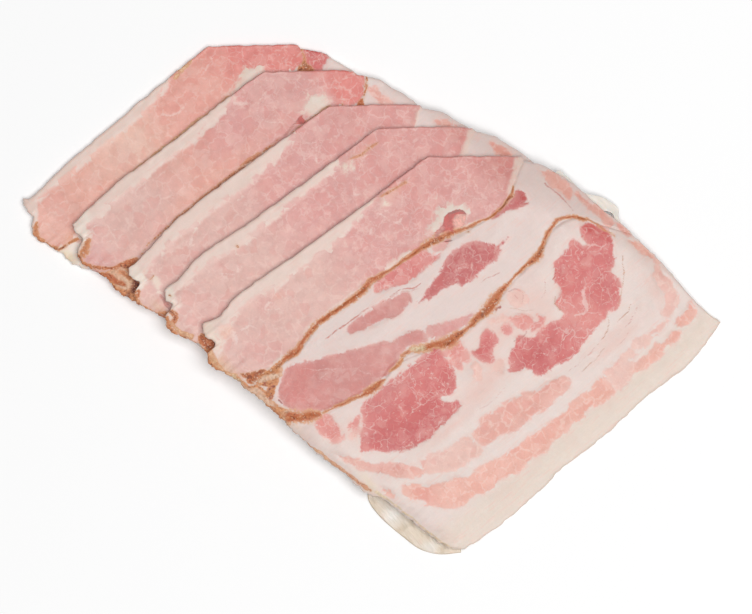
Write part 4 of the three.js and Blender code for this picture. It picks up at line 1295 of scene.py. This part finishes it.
def write_fields(mesh, floats, colours):
    for name, values in floats.items():
        mesh.attributes.new(name, "FLOAT", "POINT").data.foreach_set("value", values.astype(np.float32))
    for name, values in colours.items():
        flat = values.astype(np.float32).ravel()
        mesh.attributes.new(name, "FLOAT_COLOR", "POINT").data.foreach_set("color", flat)


def painted(number, grid, spine):
    """The pattern of a slice at its grid's places."""
    pattern = Pattern(number, grid[..., 0].ravel(), grid[..., 1].ravel())
    pattern.add_turns(spine(np.linspace(0, 1, PlanCurve.STEPS)))
    lean = [(colour, pattern.carried(outline)) for colour, outline in LEAN_OF_TOP]
    browned = []
    for _, line in SEAM_STROKES:
        wider = [(x, y, TAN_BESIDE["wider"] * half + TAN_BESIDE["more"]) for x, y, half in line]
        browned.append(("tan", pattern.carried(wider), TAN_BESIDE["strength"]))
    browned += [(colour, pattern.carried(line)) for colour, line in SEAM_STROKES]
    pattern.add_marks({"lean": lean, "stroke": browned})
    for line in [*map(pattern.carried, WEBS_OF_TOP), *OWN_WEBS[number]]:
        pattern.add_web(line)
    return pattern


# ---- node graphs ----


class Value:
    """A socket of a node graph that can be reckoned with like a number."""

    def __init__(self, graph, socket):
        self.graph = graph
        self.socket = socket

    def reckon(self, operation, *values):
        return self.graph.add("ShaderNodeMath", {"operation": operation}, dict(enumerate(values)))

    def __add__(self, other):
        return self.reckon("ADD", self, other)

    def __sub__(self, other):
        return self.reckon("SUBTRACT", self, other)

    def __rsub__(self, other):
        return self.reckon("SUBTRACT", other, self)

    def __mul__(self, other):
        return self.reckon("MULTIPLY", self, other)

    __radd__ = __add__
    __rmul__ = __mul__

    def smooth(self, low, high):
        """0 below one value, 1 above another, and an eased run between."""
        settings = {"interpolation_type": "SMOOTHSTEP"}
        return self.graph.add("ShaderNodeMapRange", settings, {0: self, 1: low, 2: high})

    def mix(self, first, second):
        """The first colour where this is 0, the second where it is 1."""
        inputs = {0: self, 6: first, 7: second}
        return self.graph.add("ShaderNodeMix", {"data_type": "RGBA"}, inputs, 2)

    def scaled(self, factor):
        return self.graph.add("ShaderNodeVectorMath", {"operation": "SCALE"}, {0: self, "Scale": factor})


class Graph:
    """Adds nodes to a material's or a geometry group's tree."""

    def __init__(self, tree):
        self.tree = tree

    def add(self, kind, settings=None, inputs=None, output=0):
        node = self.tree.nodes.new(kind)
        for name, value in (settings or {}).items():
            setattr(node, name, value)
        for name, value in (inputs or {}).items():
            if isinstance(value, Value):
                self.tree.links.new(value.socket, node.inputs[name])
            else:
                node.inputs[name].default_value = value
        return Value(self, node.outputs[output]) if node.outputs else None

    def painted(self, name, output="Fac"):
        return self.add("ShaderNodeAttribute", {"attribute_name": name}, output=output)

    def noise(self, place, scale, detail=2.0, output="Fac"):
        inputs = {"Vector": place, "Scale": scale, "Detail": detail}
        return self.add("ShaderNodeTexNoise", {}, inputs, output)

    def shaken(self, place, scale, reach):
        """Places moved about by noise, by up to about half the reach either way."""
        noise = self.noise(place, scale, 2.0, "Color")
        inputs = {0: noise, 1: (reach, reach, reach), 2: place}
        return self.add("ShaderNodeVectorMath", {"operation": "MULTIPLY_ADD"}, inputs)

    def cells(self, place, scale, feature="DISTANCE_TO_EDGE", output=0):
        """Cells like lobules of muscle: how far a place is from their borders, or another feature."""
        inputs = {"Vector": place, "Scale": scale}
        return self.add("ShaderNodeTexVoronoi", {"feature": feature}, inputs, output)

    def bumps(self, height, distance):
        inputs = {"Strength": 1.0, "Distance": distance, "Height": height}
        return self.add("ShaderNodeBump", {}, inputs)

    def show(self, inputs):
        """Makes a principled surface with these inputs what the material shows."""
        surface = self.add("ShaderNodeBsdfPrincipled", {}, inputs)
        self.add("ShaderNodeOutputMaterial", {}, {"Surface": surface})


def new_material(name):
    material = bpy.data.materials.new(name)
    material.use_nodes = True
    material.node_tree.nodes.clear()
    return material, Graph(material.node_tree)


def rgba(name):
    return (*COLOUR[name], 1.0)


def coated(ground, *coats):
    """A colour under coats of (where, colour name), the last on top."""
    for where, name in coats:
        ground = where.mix(ground, rgba(name))
    return ground


def millimetres(graph, turn=0.0, stretch=(1, 1, 0.15)):
    """Places on the piece in millimetres, turned in plan and stretched."""
    place = graph.add("ShaderNodeTexCoord", output="Object")
    inputs = {"Vector": place, "Rotation": (0, 0, turn), "Scale": tuple(1000 * part for part in stretch)}
    return graph.add("ShaderNodeMapping", {"vector_type": "POINT"}, inputs)


def meat_material(name, look):
    """Fat, lean, browned seams and threads, mixed by what is painted on the mesh."""
    material, graph = new_material(name)
    place = millimetres(graph)
    fine = graph.noise(place, 1.9, 3.0)
    middling = graph.noise(place, 0.55, 3.0)
    broad = graph.noise(place, 0.12)
    layers = graph.noise(millimetres(graph, 0.0, (1.5, 0.16, 0.3)), 1.0, 3.0)
    shaken = graph.shaken(place, 0.5, 2.6)
    lobules = graph.cells(shaken, 0.3)
    lobule = graph.cells(shaken, 0.3, "F1", "Color")
    clusters = graph.cells(graph.shaken(place, 0.22, 6.0), 0.15)
    twigs = graph.cells(graph.shaken(place, 0.5, 1.1), 0.36)

    marbling = graph.painted("marbling")
    inward = graph.painted("lean")
    lobes = graph.painted("lobes")
    edge = inward + (lobule - 0.5) * lobes + (middling - 0.5) * 1.1 + (fine - 0.5) * 0.8
    border = lobes * 0.1 + 0.24
    lean = edge.smooth(border * -1, border)
    veined = graph.painted("veins")
    veins = (1 - lobules.smooth(0.0, veined * 0.12 + 0.05)) * middling.smooth(0.4, 0.56) * veined
    threads = (1 - clusters.smooth(0.004, 0.03)) * graph.noise(place, 0.3).smooth(0.4, 0.58)
    branches = (1 - twigs.smooth(0.004, 0.05)) * graph.noise(place, 0.35, 2.0).smooth(0.5, 0.62)
    flecks = graph.noise(place, 1.2, 2.0).smooth(0.64, 0.72)
    lines = threads * 0.6 + branches * 0.55 + flecks * 0.6
    webs = graph.painted("web") + (fine - 0.5) * 0.9 + (middling - 0.5) * 0.6
    pale = (lines * marbling + webs.smooth(0.45, 0.9) * 0.65) * look.webs

    pillow = lobules.smooth(0.02, 0.18) * look.grain
    patches = graph.noise(place, 0.26, 2.0)
    lean_bright = 1 + ((fine - 0.5) * 0.16 + (middling - 0.5) * 0.2 + (patches - 0.5) * 0.2) * look.grain
    lean_colour = coated(
        graph.painted("lean_tint", "Color").scaled(lean_bright),
        (lobule.smooth(0.45, 0.8) * pillow * 0.16, "lobule"),
        ((1 - lobule).smooth(0.45, 0.8) * pillow * 0.16, "warm rose"),
        (patches.smooth(0.52, 0.72) * 0.2, "pale belly"),
        ((1 - inward.smooth(-0.4, 1.4)) * 0.16, "lobule"),
        (veins * look.webs, "lobule"),
        (pale, "web"),
    )
    fat_bright = 1 + ((middling - 0.5) * 0.08 + (fine - 0.5) * 0.08 + (layers - 0.5) * 0.12) * look.grain
    blush = layers.smooth(0.54, 0.72) * 0.34 + broad.smooth(0.52, 0.75) * 0.3 * middling
    blush = blush + inward.smooth(-1.6, 0.2) * middling.smooth(0.4, 0.62) * 0.35
    fat_colour = coated(graph.painted("fat_tint", "Color").scaled(fat_bright), (blush, "pale belly"))
    ground = lean.mix(fat_colour, lean_colour)

    crust = graph.painted("crust")
    crumbly = graph.noise(place, 1.4, 4.0)
    clumps = graph.noise(place, 0.6, 3.0)
    specks = graph.noise(place, 1.0, 4.0)
    ragged = (crumbly - 0.5) * (0.5 + crust * 1.9) + (clumps - 0.5) * 1.6 * crust
    cover = graph.painted("stain", "Alpha") + ragged
    stained = cover.smooth(0.36, 0.66)
    halo = (crust + (clumps - 0.5) * 0.8).smooth(0.05, 0.6)
    outside = (1 - cover.smooth(0.5, 0.95)) * crust.smooth(0.1, 0.3)
    core = crust.smooth(0.55, 0.95) * (1 - clumps).smooth(0.5, 0.6)
    burnt = specks.smooth(0.58, 0.66) * crust.smooth(0.55, 0.9) * look.browning
    stain_colour = coated(
        graph.painted("stain", "Color").scaled(1 + (crumbly - 0.5) * 1.1),
        (outside * 0.75, "orange"),
        (clumps.smooth(0.5, 0.62) * crust * 0.6, "orange"),
        (core * 0.45, "burnt"),
        (crumbly.smooth(0.54, 0.68) * crust * 0.55, "tan"),
        (burnt, "dark crust"),
    )
    ground = coated(ground, (halo * 0.5, "tan"))
    colour = stained.mix(ground, stain_colour).scaled(look.tone)

    height = fine * 0.3 + middling * 0.5 - lean * pale * 0.3 + crust * crumbly * 3.0
    bumps = graph.bumps(height, 0.00008)
    roughness = 0.45 + (middling - 0.5) * 0.3 + crust * 0.2
    wet = (0.08 + middling.smooth(0.52, 0.7) * 0.3) * (1 - crust * 0.7) * look.wetness
    inputs = {
        "Base Color": colour,
        "Roughness": roughness,
        "Coat Weight": wet,
        "Coat Roughness": 0.12,
        "Subsurface Weight": 0.18,
        "Subsurface Radius": (1.2, 0.5, 0.35),
        "Subsurface Scale": 0.0006,
        "Normal": bumps,
    }
    graph.show(inputs)
    return material


def membrane_material(name, tint, look):
    """A wet, cloudy film that shows a little of what is behind it."""
    material, graph = new_material(name)
    place = millimetres(graph)
    clouds = graph.noise(place, 0.35, 3.0)
    streaks = graph.noise(millimetres(graph, -0.5, (0.25, 1.6, 0.3)), 1.0, 3.0)
    thin = graph.painted("thin")
    colour = coated(rgba(tint), (thin, "film grey"), (clouds.smooth(0.56, 0.76) * 0.2, "pale belly"))
    colour = colour.scaled(1 + (streaks - 0.5) * 0.22)
    height = clouds * 1.5 + streaks * 1.6
    bumps = graph.bumps(height, 0.00014)
    inputs = {
        "Base Color": colour,
        "Roughness": 0.3 + clouds * 0.2,
        "Alpha": 0.98 - thin * 0.2,
        "Coat Weight": clouds.smooth(0.35, 0.6) * 0.6 * look.wetness,
        "Coat Roughness": 0.1,
        "Subsurface Weight": 0.25,
        "Subsurface Radius": (1.2, 0.8, 0.6),
        "Subsurface Scale": 0.0006,
        "Normal": bumps,
    }
    graph.show(inputs)
    return material


def crumb_material(name):
    """Grains of crust, from burnt to orange."""
    material, graph = new_material(name)
    shade = graph.noise(millimetres(graph, 0.0, (1, 1, 1)), 1.4, 1.0)
    colour = shade.smooth(0.38, 0.56).mix(rgba("burnt"), rgba("orange"))
    inputs = {"Base Color": colour, "Roughness": 0.55}
    graph.show(inputs)
    return material


def plain_material(name, colour, roughness):
    material, graph = new_material(name)
    inputs = {"Base Color": (*linear(colour), 1.0), "Roughness": roughness}
    graph.show(inputs)
    return material


# ---- the pieces ----

PILE = ["membrane_near", "slice_1", "slice_2", "slice_3", "slice_4", "membrane_far", "slice_5"]
MEMBRANES = {"membrane_near": MEMBRANE_NEAR, "membrane_far": MEMBRANE_FAR}
MEMBRANE_TINTS = {"membrane_near": "film warm", "membrane_far": "film pale"}
# Where a membrane is so thin that it shows what is behind it, as (x, y, reach).
THIN_SPOTS = {
    "membrane_near": [(58, -39.6, 3), (72, -37.6, 2)],
    "membrane_far": [(33, 61.4, 2.2), (17, 58, 2.4)],
}


def membrane_sides(name):
    strip = MEMBRANES[name]
    near, far = strip["free"], strip["tucked"]
    if name == "membrane_far":
        near, far = far, near
    edges = {"near": near, "far": far, "left": [near[0], far[0]], "right": [near[-1], far[-1]]}
    return {side: PlanCurve(points) for side, points in edges.items()}


def laid_under(name, shape):
    """The outlines and thicknesses of the pieces that are laid before one."""
    laid = []
    for other in PILE[: PILE.index(name)]:
        if other in MEMBRANES:
            laid.append((outline_of(membrane_sides(other)), MEMBRANE_THICKNESS))
        else:
            laid.append((outline_of(sides_of(int(other[-1]))), shape.thickness / MM))
    return laid


def finish_piece(name, mesh, on_base, floats, colours, material):
    """Puts the painted fields on a slab's mesh and makes it the look of its solid."""
    whole = [{key: np.concatenate([values, values[on_base.ravel()]]) for key, values in fields.items()}
             for fields in (floats, colours)]
    write_fields(mesh, *whole)
    piece = new_piece(f"{name}_look", mesh, material)
    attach(piece, "root")
    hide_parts(name)
    return piece


def lay_slice(number, settings):
    """Lays one slice: draped over those before it, with a lifted flap, crags, grooves and relief."""
    name = f"slice_{number}"
    shape = settings.shape
    grid, cuts, along, spines = slice_grid(number)
    x = grid[..., 0]
    waves = sum(share * np.sin(pace * x + turn * number) for share, pace, turn in CRAG_WAVES)
    crag = waves * np.exp(-SLICE_LENGTH * along / CRAG["run"])[:, None]
    grid[..., 1] += CRAG["outline"] * crag
    frayed = np.exp(-depth_from_rim(grid) / FRAY["run"])[..., None]
    nicks = [lattice_noise(x, grid[..., 1], FRAY["cell"], seed + number) for seed in FRAY["seeds"]]
    grid[..., :2] += FRAY["reach"] * frayed * np.stack(nicks, axis=-1)
    y = grid[..., 1]
    pattern = painted(number, grid, spines[0][0])
    corner_x, corner_y = FAT_EDGES[number][0]
    flap_x, flap_y = corner_x + FLAP["in_from_edge"], corner_y - FLAP["out_from_end"]
    curl = FLAP["lift"] * np.exp(-((x - flap_x) ** 2 + (y - flap_y) ** 2) / FLAP["reach"] ** 2)
    base = level_over(laid_under(name, shape), x, y, shape) + curl
    depth = depth_from_rim(grid)
    lean = smooth_step(pattern.lean, -0.6, 0.6).reshape(x.shape)
    crust = pattern.crust.reshape(x.shape)
    sway = GROOVE["sway"] * lattice_noise(x, y, GROOVE["cell"], GROOVE["seed"])
    hollows = cuts * (GROOVE["share"] + sway)
    if number != TOP:
        hollows *= 1 - smooth_step(along, *GROOVE["fade"])[:, None]
    crumbly = crust * (relief(x, y, CRUMBLES) - CRUMBLE_SINK)
    bumpy = relief(x, y, LUMPS) + crumbly - lean * shape.lean_drop / MM
    radius = shape.edge_radius / MM
    top = base + shape.thickness / MM - CRAG["height"] * np.abs(crag) - hollows
    top += bumpy * smooth_step(depth, 0, 1) - rounding(depth, radius)
    base = base + rounding(depth, UNDER_ROUNDING * radius)
    mesh, on_base = slab_mesh(name, grid, top, base, SLICE_BASE_STEP)
    piece = finish_piece(name, mesh, on_base, *pattern.fields(), meat_material(name, settings.look))
    return piece


def lay_membrane(name, settings):
    """Lays a thin, wrinkled strip of membrane that sticks out from under the top slice."""
    sides = membrane_sides(name)
    columns = np.linspace(0, 1, MEMBRANE["columns"])
    rows = eased(MEMBRANE["width"], MEMBRANE["step"], MEMBRANE["step"], True, True)
    near, far = sides["near"](columns), sides["far"](columns)
    grid = near[None] * (1 - rows[:, None, None]) + far[None] * rows[:, None, None]
    x, y = grid[..., 0], grid[..., 1]
    base = level_over(laid_under(name, settings.shape), x, y, settings.shape)
    depth = depth_from_rim(grid)
    folds = relief(x, y, FOLDS) * smooth_step(depth, 0, MEMBRANE["fold_run"])
    top = base + MEMBRANE_THICKNESS + folds - rounding(depth, MEMBRANE["rim"])
    base = base + rounding(depth, MEMBRANE["under_rim"])
    mesh, on_base = slab_mesh(name, grid, top, base, MEMBRANE["base_step"])
    spots = [np.exp(-((x - u) ** 2 + (y - v) ** 2) / reach**2) for u, v, reach in THIN_SPOTS[name]]
    thin = np.clip(sum(spots) + relief(x, y, THINNING), 0, 1).ravel()
    material = membrane_material(name, MEMBRANE_TINTS[name], settings.look)
    piece = finish_piece(name, mesh, on_base, {"thin": thin}, {}, material)
    return piece


# ---- crumbs of crust ----

CRUMB_SQUAT = (0.75, 0.6)  # a grain's width and height, as shares of its length


def crumb_group():
    """A geometry group that scatters small grains over a mesh, by its painted crust."""
    group = bpy.data.node_groups.new("Scatter Crumbs", "GeometryNodeTree")
    group.interface.new_socket("Mesh", in_out="INPUT", socket_type="NodeSocketGeometry")
    group.interface.new_socket("Crumbs", in_out="OUTPUT", socket_type="NodeSocketGeometry")
    sockets = {}
    kinds = [("Density", "Float"), ("Smallest", "Float"), ("Largest", "Float"), ("Seed", "Int"),
             ("Material", "Material")]
    for name, kind in kinds:
        socket = group.interface.new_socket(name, in_out="INPUT", socket_type=f"NodeSocket{kind}")
        sockets[name] = socket.identifier
    graph = Graph(group)
    source = group.nodes.new("NodeGroupInput")
    given = {socket.name: Value(graph, socket) for socket in source.outputs if socket.name}
    crust = graph.add("GeometryNodeInputNamedAttribute", {"data_type": "FLOAT"}, {"Name": "crumb"})
    inputs = {"Mesh": given["Mesh"], "Density": crust * given["Density"], "Seed": given["Seed"]}
    points = graph.add("GeometryNodeDistributePointsOnFaces", {}, inputs)
    grain = graph.add("GeometryNodeMeshIcoSphere", {}, {"Radius": 0.5, "Subdivisions": 2})
    inputs = {2: given["Smallest"], 3: given["Largest"], "Seed": given["Seed"]}
    size = graph.add("FunctionNodeRandomValue", {"data_type": "FLOAT"}, inputs, 1)
    width, height = CRUMB_SQUAT
    squat = graph.add("ShaderNodeCombineXYZ", {}, {0: size, 1: size * width, 2: size * height})
    inputs = {0: (0, 0, 0), 1: (math.tau, math.tau, math.tau), "Seed": given["Seed"]}
    turn = graph.add("FunctionNodeRandomValue", {"data_type": "FLOAT_VECTOR"}, inputs)
    inputs = {"Points": points, "Instance": grain, "Scale": squat, "Rotation": turn}
    grains = graph.add("GeometryNodeInstanceOnPoints", {}, inputs)
    loose = graph.add("GeometryNodeRealizeInstances", {}, {"Geometry": grains})
    inputs = {"Geometry": loose, "Material": given["Material"]}
    finished = graph.add("GeometryNodeSetMaterial", {}, inputs)
    graph.add("NodeGroupOutput", {}, {"Crumbs": finished})
    return group, sockets


def scatter_crumbs(settings):
    """Scatters grains of crust over the browned seams, as one mesh."""
    crumbs = settings.crumbs
    group, sockets = crumb_group()
    material = crumb_material("crumbs")
    meshes = []
    for number in sorted(FAT_EDGES):
        piece = bpy.data.objects[f"slice_{number}_look"]
        modifier = piece.modifiers.new("Crumbs", "NODES")
        modifier.node_group = group
        values = {"Density": crumbs.density, "Smallest": crumbs.smallest, "Largest": crumbs.largest,
                  "Seed": crumbs.seed + number, "Material": material}
        for name, value in values.items():
            modifier[sockets[name]] = value
        shown = piece.evaluated_get(bpy.context.evaluated_depsgraph_get())
        meshes.append(bpy.data.meshes.new_from_object(shown))
        piece.modifiers.remove(modifier)
    corners, faces = [], []
    for mesh in meshes:
        start = len(corners)
        corners += [tuple(vertex.co) for vertex in mesh.vertices]
        faces += [[start + index for index in polygon.vertices] for polygon in mesh.polygons]
    joined = bpy.data.meshes.new("crumbs")
    joined.from_pydata(corners, [], faces)
    joined.polygons.foreach_set("use_smooth", np.ones(len(faces), bool))
    piece = new_piece("crumbs", joined, material)
    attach(piece, "root")
    return piece


# ---- the stage ----

FLOOR_Z = -0.00005
FLOOR_HALF = 3.0
AIM = Vector((0.0089, -0.0053, 0.004))
KEY_SIZE = 1.4
KEY_DISTANCE = 2
SENSOR_WIDTH = 36
CAMERA_AZIMUTH = math.radians(50)
CAMERA_ELEVATION = math.radians(88)
FRAME_WIDTH = 0.2106  # how much of the pile's plan the picture spans, in metres


def direction_from(azimuth, elevation):
    """The way towards a place around the pile: azimuth 0 is its near side, and 90 degrees +x."""
    flat = math.cos(elevation)
    return Vector((math.sin(azimuth) * flat, -math.cos(azimuth) * flat, math.sin(elevation)))


def set_stage(settings):
    """A plain pale floor, soft light, and a long lens that looks down at the pile."""
    stage = settings.stage
    scene = bpy.context.scene
    scene.view_settings.view_transform = "Standard"
    scene.view_settings.look = "None"
    signs = [(-1, -1), (1, -1), (1, 1), (-1, 1)]
    corners = [(FLOOR_HALF * x, FLOOR_HALF * y, FLOOR_Z) for x, y in signs]
    ground = bpy.data.meshes.new("floor")
    ground.from_pydata(corners, [], [(0, 1, 2, 3)])
    floor_colour = tuple(255 * part for part in stage.floor_colour)
    floor = new_piece("floor", ground, plain_material("floor", floor_colour, 0.9))

    world = bpy.data.worlds.new("light")
    world.use_nodes = True
    world.node_tree.nodes.clear()
    graph = Graph(world.node_tree)
    sky = graph.add("ShaderNodeBackground", {}, {"Color": (1, 1, 1, 1), "Strength": stage.sky_strength})
    graph.add("ShaderNodeOutputWorld", {}, {"Surface": sky})
    scene.world = world

    lamp = bpy.data.lights.new("key", "AREA")
    lamp.shape = "SQUARE"
    lamp.size = KEY_SIZE
    lamp.energy = stage.key_power
    key = bpy.data.objects.new("key", lamp)
    scene.collection.objects.link(key)
    towards = direction_from(stage.key_azimuth, stage.key_elevation)
    key.location = AIM + KEY_DISTANCE * towards
    key.rotation_euler = towards.to_track_quat("Z", "Y").to_euler()

    eye = bpy.data.cameras.new("camera")
    eye.lens = stage.lens
    eye.sensor_width = SENSOR_WIDTH
    camera = bpy.data.objects.new("camera", eye)
    scene.collection.objects.link(camera)
    back = direction_from(CAMERA_AZIMUTH, CAMERA_ELEVATION)
    camera.location = AIM + back * (FRAME_WIDTH * stage.lens / eye.sensor_width)
    camera.rotation_euler = (-back).to_track_quat("-Z", "Y").to_euler()
    scene.camera = camera


# ---- settings, operators and the panel ----


class BELLY_PG_shape(bpy.types.PropertyGroup):
    """The slices' sizes"""

    thickness: FloatProperty(
        name="Thickness", description="Thickness of a slice", default=0.002, min=0.0005, unit="LENGTH")
    air_gap: FloatProperty(
        name="Air gap", description="Room between a slice and what it lies on", default=0.0003, min=0.0,
        unit="LENGTH")
    drape_run: FloatProperty(
        name="Drape run", description="How far out a slice takes to come down from what it lies on",
        default=0.016, min=0.001, unit="LENGTH")
    edge_radius: FloatProperty(
        name="Edge radius", description="Radius of a slice's rim", default=0.0005, min=0.0,
        unit="LENGTH")
    lean_drop: FloatProperty(
        name="Lean drop", description="How far the lean lies below the fat", default=0.0001, min=0.0,
        unit="LENGTH")


class BELLY_PG_look(bpy.types.PropertyGroup):
    """The meat's finish"""

    webs: FloatProperty(
        name="Webs", description="Strength of the pale lines in the lean", default=0.7, min=0.0, max=1.0)
    grain: FloatProperty(
        name="Grain", description="Strength of the fine variation in colour", default=1.0, min=0.0,
        max=3.0)
    browning: FloatProperty(
        name="Browning", description="Strength of the dark specks in the crust", default=0.8, min=0.0,
        max=1.0)
    tone: FloatProperty(
        name="Tone", description="Brightness of the meat's colours", default=0.93, min=0.0, max=1.0)
    wetness: FloatProperty(
        name="Wetness", description="Strength of the sheen", default=0.8, min=0.0, max=1.0)


class BELLY_PG_crumbs(bpy.types.PropertyGroup):
    """The grains of crust"""

    density: FloatProperty(
        name="Density", description="Grains for each square metre of crust", default=0.8e6, min=0.0)
    smallest: FloatProperty(
        name="Smallest", description="Length of the smallest grain", default=0.00014, min=0.0,
        unit="LENGTH")
    largest: FloatProperty(
        name="Largest", description="Length of the largest grain", default=0.00055, min=0.0,
        unit="LENGTH")
    seed: IntProperty(name="Seed", description="Start of the random scatter", default=4)


class BELLY_PG_stage(bpy.types.PropertyGroup):
    """The floor, the light and the camera"""

    floor_colour: FloatVectorProperty(
        name="Floor", description="Colour of the floor", subtype="COLOR_GAMMA", size=3,
        default=(0.99, 0.99, 0.99), min=0.0, max=1.0)
    sky_strength: FloatProperty(
        name="Sky", description="Strength of the even light from all round", default=0.2, min=0.0)
    key_power: FloatProperty(
        name="Key light", description="Power of the key light", default=38.0, min=0.0, unit="POWER")
    key_azimuth: FloatProperty(
        name="Key azimuth", description="Where around the pile the key light stands",
        default=math.radians(110), subtype="ANGLE", unit="ROTATION")
    key_elevation: FloatProperty(
        name="Key elevation", description="How high the key light stands", default=math.radians(78),
        subtype="ANGLE", unit="ROTATION")
    lens: FloatProperty(
        name="Lens", description="Focal length of the camera in millimetres", default=200.0, min=20.0,
        unit="CAMERA")


class BELLY_PG_settings(bpy.types.PropertyGroup):
    """All settings of the pile"""

    shape: PointerProperty(name="Shape", description="The slices' sizes", type=BELLY_PG_shape)
    look: PointerProperty(name="Look", description="The meat's finish", type=BELLY_PG_look)
    crumbs: PointerProperty(name="Crumbs", description="The grains of crust", type=BELLY_PG_crumbs)
    stage: PointerProperty(name="Stage", description="The floor, light and camera", type=BELLY_PG_stage)


class BELLY_OT_lay_slices(bpy.types.Operator):
    """Lay the five slices of the pile"""

    bl_idname = "belly.lay_slices"
    bl_label = "Lay Slices"
    bl_options = {"REGISTER", "UNDO"}

    def execute(self, context):
        for number in sorted(FAT_EDGES):
            lay_slice(number, context.scene.pork_belly)
        return {"FINISHED"}


class BELLY_OT_lay_membranes(bpy.types.Operator):
    """Lay the scraps of membrane that stick out from under the top slice"""

    bl_idname = "belly.lay_membranes"
    bl_label = "Lay Membranes"
    bl_options = {"REGISTER", "UNDO"}

    def execute(self, context):
        for name in MEMBRANES:
            lay_membrane(name, context.scene.pork_belly)
        return {"FINISHED"}


class BELLY_OT_scatter_crumbs(bpy.types.Operator):
    """Scatter grains of crust over the slices' browned seams"""

    bl_idname = "belly.scatter_crumbs"
    bl_label = "Scatter Crumbs"
    bl_options = {"REGISTER", "UNDO"}

    def execute(self, context):
        scatter_crumbs(context.scene.pork_belly)
        return {"FINISHED"}


class BELLY_OT_set_stage(bpy.types.Operator):
    """Set the floor, the light and the camera"""

    bl_idname = "belly.set_stage"
    bl_label = "Set Stage"
    bl_options = {"REGISTER", "UNDO"}

    def execute(self, context):
        set_stage(context.scene.pork_belly)
        return {"FINISHED"}


class BELLY_PT_panel(bpy.types.Panel):
    """Settings and buttons of the pile"""

    bl_label = "Sliced Rolled Pork Belly"
    bl_idname = "BELLY_PT_panel"
    bl_space_type = "VIEW_3D"
    bl_region_type = "UI"
    bl_category = "Pork Belly"

    def draw(self, context):
        settings = context.scene.pork_belly
        groups = [
            (settings.shape, [BELLY_OT_lay_slices, BELLY_OT_lay_membranes]),
            (settings.look, []),
            (settings.crumbs, [BELLY_OT_scatter_crumbs]),
            (settings.stage, [BELLY_OT_set_stage]),
        ]
        for group, operators in groups:
            box = self.layout.box()
            for name in group.bl_rna.properties.keys():
                if name not in ("rna_type", "name"):
                    box.prop(group, name)
            for operator in operators:
                box.operator(operator.bl_idname)


CLASSES = [
    BELLY_PG_shape, BELLY_PG_look, BELLY_PG_crumbs, BELLY_PG_stage, BELLY_PG_settings,
    BELLY_OT_lay_slices, BELLY_OT_lay_membranes, BELLY_OT_scatter_crumbs, BELLY_OT_set_stage,
    BELLY_PT_panel,
]


def register():
    for cls in CLASSES:
        bpy.utils.register_class(cls)
    bpy.types.Scene.pork_belly = PointerProperty(
        name="Pork belly", description="Settings of the pile", type=BELLY_PG_settings)


def unregister():
    del bpy.types.Scene.pork_belly
    for cls in reversed(CLASSES):
        bpy.utils.unregister_class(cls)


def main():
    register()
    bpy.ops.belly.lay_slices()
    bpy.ops.belly.lay_membranes()
    bpy.ops.belly.scatter_crumbs()
    bpy.ops.belly.set_stage()


if __name__ == "__main__":
    main()
